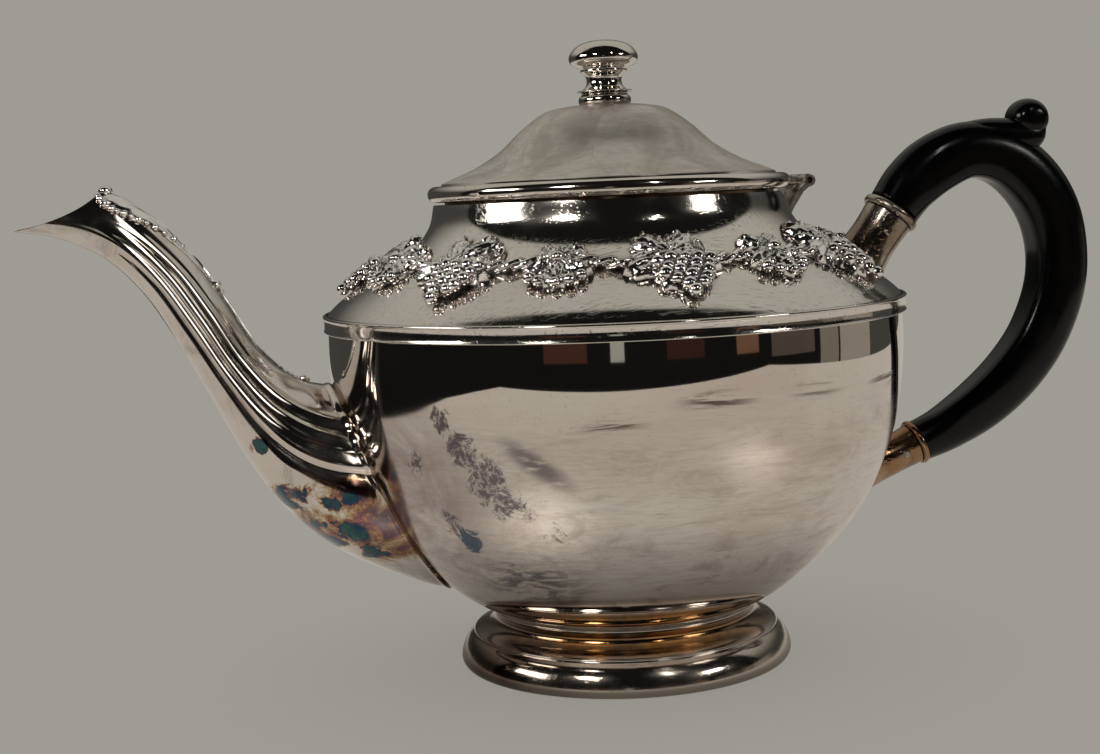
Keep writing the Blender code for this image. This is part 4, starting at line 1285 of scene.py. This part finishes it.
def paint_table(nodes, glow):
    """Pale warm table with pools of light and a shadow under the foot, for the silver to reflect."""
    place = nodes.node("TexCoord").outputs["Object"]

    def away(across, front):
        made = nodes.node("VectorMath", operation="DISTANCE")
        nodes.put(made.inputs[0], place)
        made.inputs[1].default_value = from_camera(across, front, 0)
        return made.outputs["Value"]

    pools = [nodes.between(away(across, front), reach * MM, 0, 0, extra)
             for across, front, reach, extra in TABLE_POOLS]
    shadow = nodes.between(away(0, 0), 43 * MM, 95 * MM, 0.3, 1.0, "LINEAR")
    nodes.put(glow.inputs["Strength"], nodes.times(nodes.plus(TABLE_STRENGTH, *pools), shadow))
    nodes.put(glow.inputs["Color"], TABLE_COLOUR)


def make_floor_and_table():
    """The floor the camera sees, and the table that only the silver reflects."""
    wide = 6000
    floor = ((-wide, -wide), (wide, -wide), (wide, wide), (-wide, wide))
    emission_plane("floor", [from_camera(*corner, -0.3) for corner in floor], paint_floor, camera=True)
    table = ((-334, -1500), (670, -1500), (670, 430), (-334, 380))
    corners = [from_camera(*corner, -0.4) for corner in table]
    emission_plane("table", corners, paint_table, glossy=True, diffuse=True)


def add_lamp(name, place, facing, size, energy, colour=(1.0, 0.97, 0.92)):
    """A rectangular lamp, with its size in mm, that the camera doesn't see."""
    data = bpy.data.lights.new(name, "AREA")
    data.shape = "RECTANGLE"
    data.size = size[0] * MM
    data.size_y = size[1] * MM
    data.energy = energy
    data.color = colour
    lamp = bpy.data.objects.new(name, data)
    lamp.location = place
    lamp.rotation_euler = facing.to_track_quat("-Z", "Y").to_euler()
    lamp.visible_camera = False
    bpy.context.scene.collection.objects.link(lamp)


def make_lamp(name, azimuth_deg, elevation_deg, distance, size, energy):
    """A soft lamp aimed at the pot, placed by its azimuth from the camera and its elevation."""
    azimuth = math.radians(azimuth_deg)
    elevation = math.radians(elevation_deg)
    flat = distance * math.cos(elevation)
    up = 100 + distance * math.sin(elevation)
    place = from_camera(flat * math.sin(azimuth), flat * math.cos(azimuth), up)
    add_lamp(name, place, from_camera(0, 0, 90) - place, size, energy)


def make_rib_light():
    """An upright lamp turned away from the bowl, that draws bright lines along the spout's ribs."""
    place = Vector((POT_X - 20 * MM, -260 * MM, 255 * MM))
    add_lamp("rib_light", place, Vector((-1, 0, 0)), (300, 200), 0.42, (1.0, 0.97, 0.93))


def make_world():
    """Backdrop for the camera; dark in front and pale behind and overhead for reflections."""
    world = bpy.data.worlds.new("studio")
    world.use_nodes = True
    bpy.context.scene.world = world
    world.node_tree.nodes.clear()
    nodes = Nodes(world.node_tree)
    split = nodes.node("SeparateXYZ")
    nodes.put(split.inputs[0], nodes.node("TexCoord").outputs["Generated"])
    x, y, z = split.outputs
    turn = math.radians(CAMERA_BEARING_DEG)
    towards = nodes.plus(nodes.times(x, math.cos(turn)), nodes.times(y, math.sin(turn)))
    rise = nodes.plus(nodes.times(nodes.between(z, 0.16, 0.6), 0.89), 0.11)
    leaning = nodes.maths("SUBTRACT", towards, nodes.times(z, 0.15))
    room = nodes.laid(WORLD_DARK, WORLD_PALE, nodes.between(leaning, -0.215, -0.295), rise)
    seen = nodes.laid(room, BACKDROP, nodes.node("LightPath").outputs["Is Camera Ray"])
    background = nodes.node("Background")
    nodes.put(background.inputs["Color"], seen)
    nodes.put(nodes.node("OutputWorld").inputs["Surface"], background.outputs[0])


# azimuth and width in degrees, foot in mm, brightness and colour of what the bowl's top reflects
ROOM_CARDS = (
    (-18, 16, 10, 0.05, (1.0, 0.42, 0.32)),
    (1, 5, 10, 0.30, (0.98, 1.0, 0.86)),
    (26, 14, 10, 0.03, (1.0, 0.45, 0.36)),
    (50, 9, 10, 0.13, (1.0, 0.55, 0.32)),
    (70, 20, -20, 0.07, (1.0, 0.84, 0.70)),
    (88, 10, -120, 0.16, (1.0, 0.88, 0.72)),
    (104, 20, -120, 0.25, (1.0, 0.88, 0.76)),
)


def make_card(azimuth_deg, width_deg, foot, brightness, colour):
    """An upright glowing card far from the pot, that only glossy surfaces see."""
    far = 1500
    corners = []
    for side, height in ((-1, foot), (1, foot), (1, 210), (-1, 210)):
        azimuth = math.radians(azimuth_deg + side * width_deg / 2)
        corners.append(from_camera(far * math.sin(azimuth), far * math.cos(azimuth), height))

    def paint_plain(nodes, glow):
        nodes.put(glow.inputs["Strength"], brightness)
        nodes.put(glow.inputs["Color"], colour)

    emission_plane(f"room_card_{azimuth_deg}", corners, paint_plain, glossy=True)


def make_studio():
    """Camera, floor, world and lamps."""
    bpy.context.scene.view_settings.view_transform = "Standard"
    make_camera()
    make_floor_and_table()
    make_world()
    make_lamp("window_left", -72, 21, 1500, (620, 300), 6.0)
    make_lamp("window_front", -29, 30, 1500, (260, 170), 3.4)
    make_lamp("lamp_high", 32, 38, 1500, (40, 300), 0.7)
    make_lamp("lamp_right", 63, 20, 1600, (360, 130), 2.0)
    make_rib_light()
    for card in ROOM_CARDS:
        make_card(*card)


def main():
    """Make every piece, then the studio."""
    cast = cast_look()
    worn = worn_look("worn_plate", (0.50, 0.45, 0.38), (0.29, 0.22, 0.16))
    golden = worn_look("golden_plate", (0.46, 0.34, 0.23), (0.34, 0.20, 0.11))
    steel = steel_look()
    plain = plain_silver_look("inner_silver", 0.2, 0.35)
    make_bowl(bowl_look())
    make_shoulder(plain_silver_look("shoulder_silver", 0.07, 0.16, 0.35))
    make_rim_moulding(plain_silver_look("rim_silver", 0.06, 0.14, 0.3))
    make_foot(foot_look())
    make_spout(spout_look())
    make_spout_leaf(cast)
    make_vine(cast)
    make_handle(handle_look())
    make_sockets(worn, golden, steel)
    make_socket_feet(worn, golden)
    make_hinge(plain, steel)
    make_lid(lid_look(), golden, plain, plain_silver_look("knob_silver", 0.04, 0.09, 0.2))
    make_studio()


main()
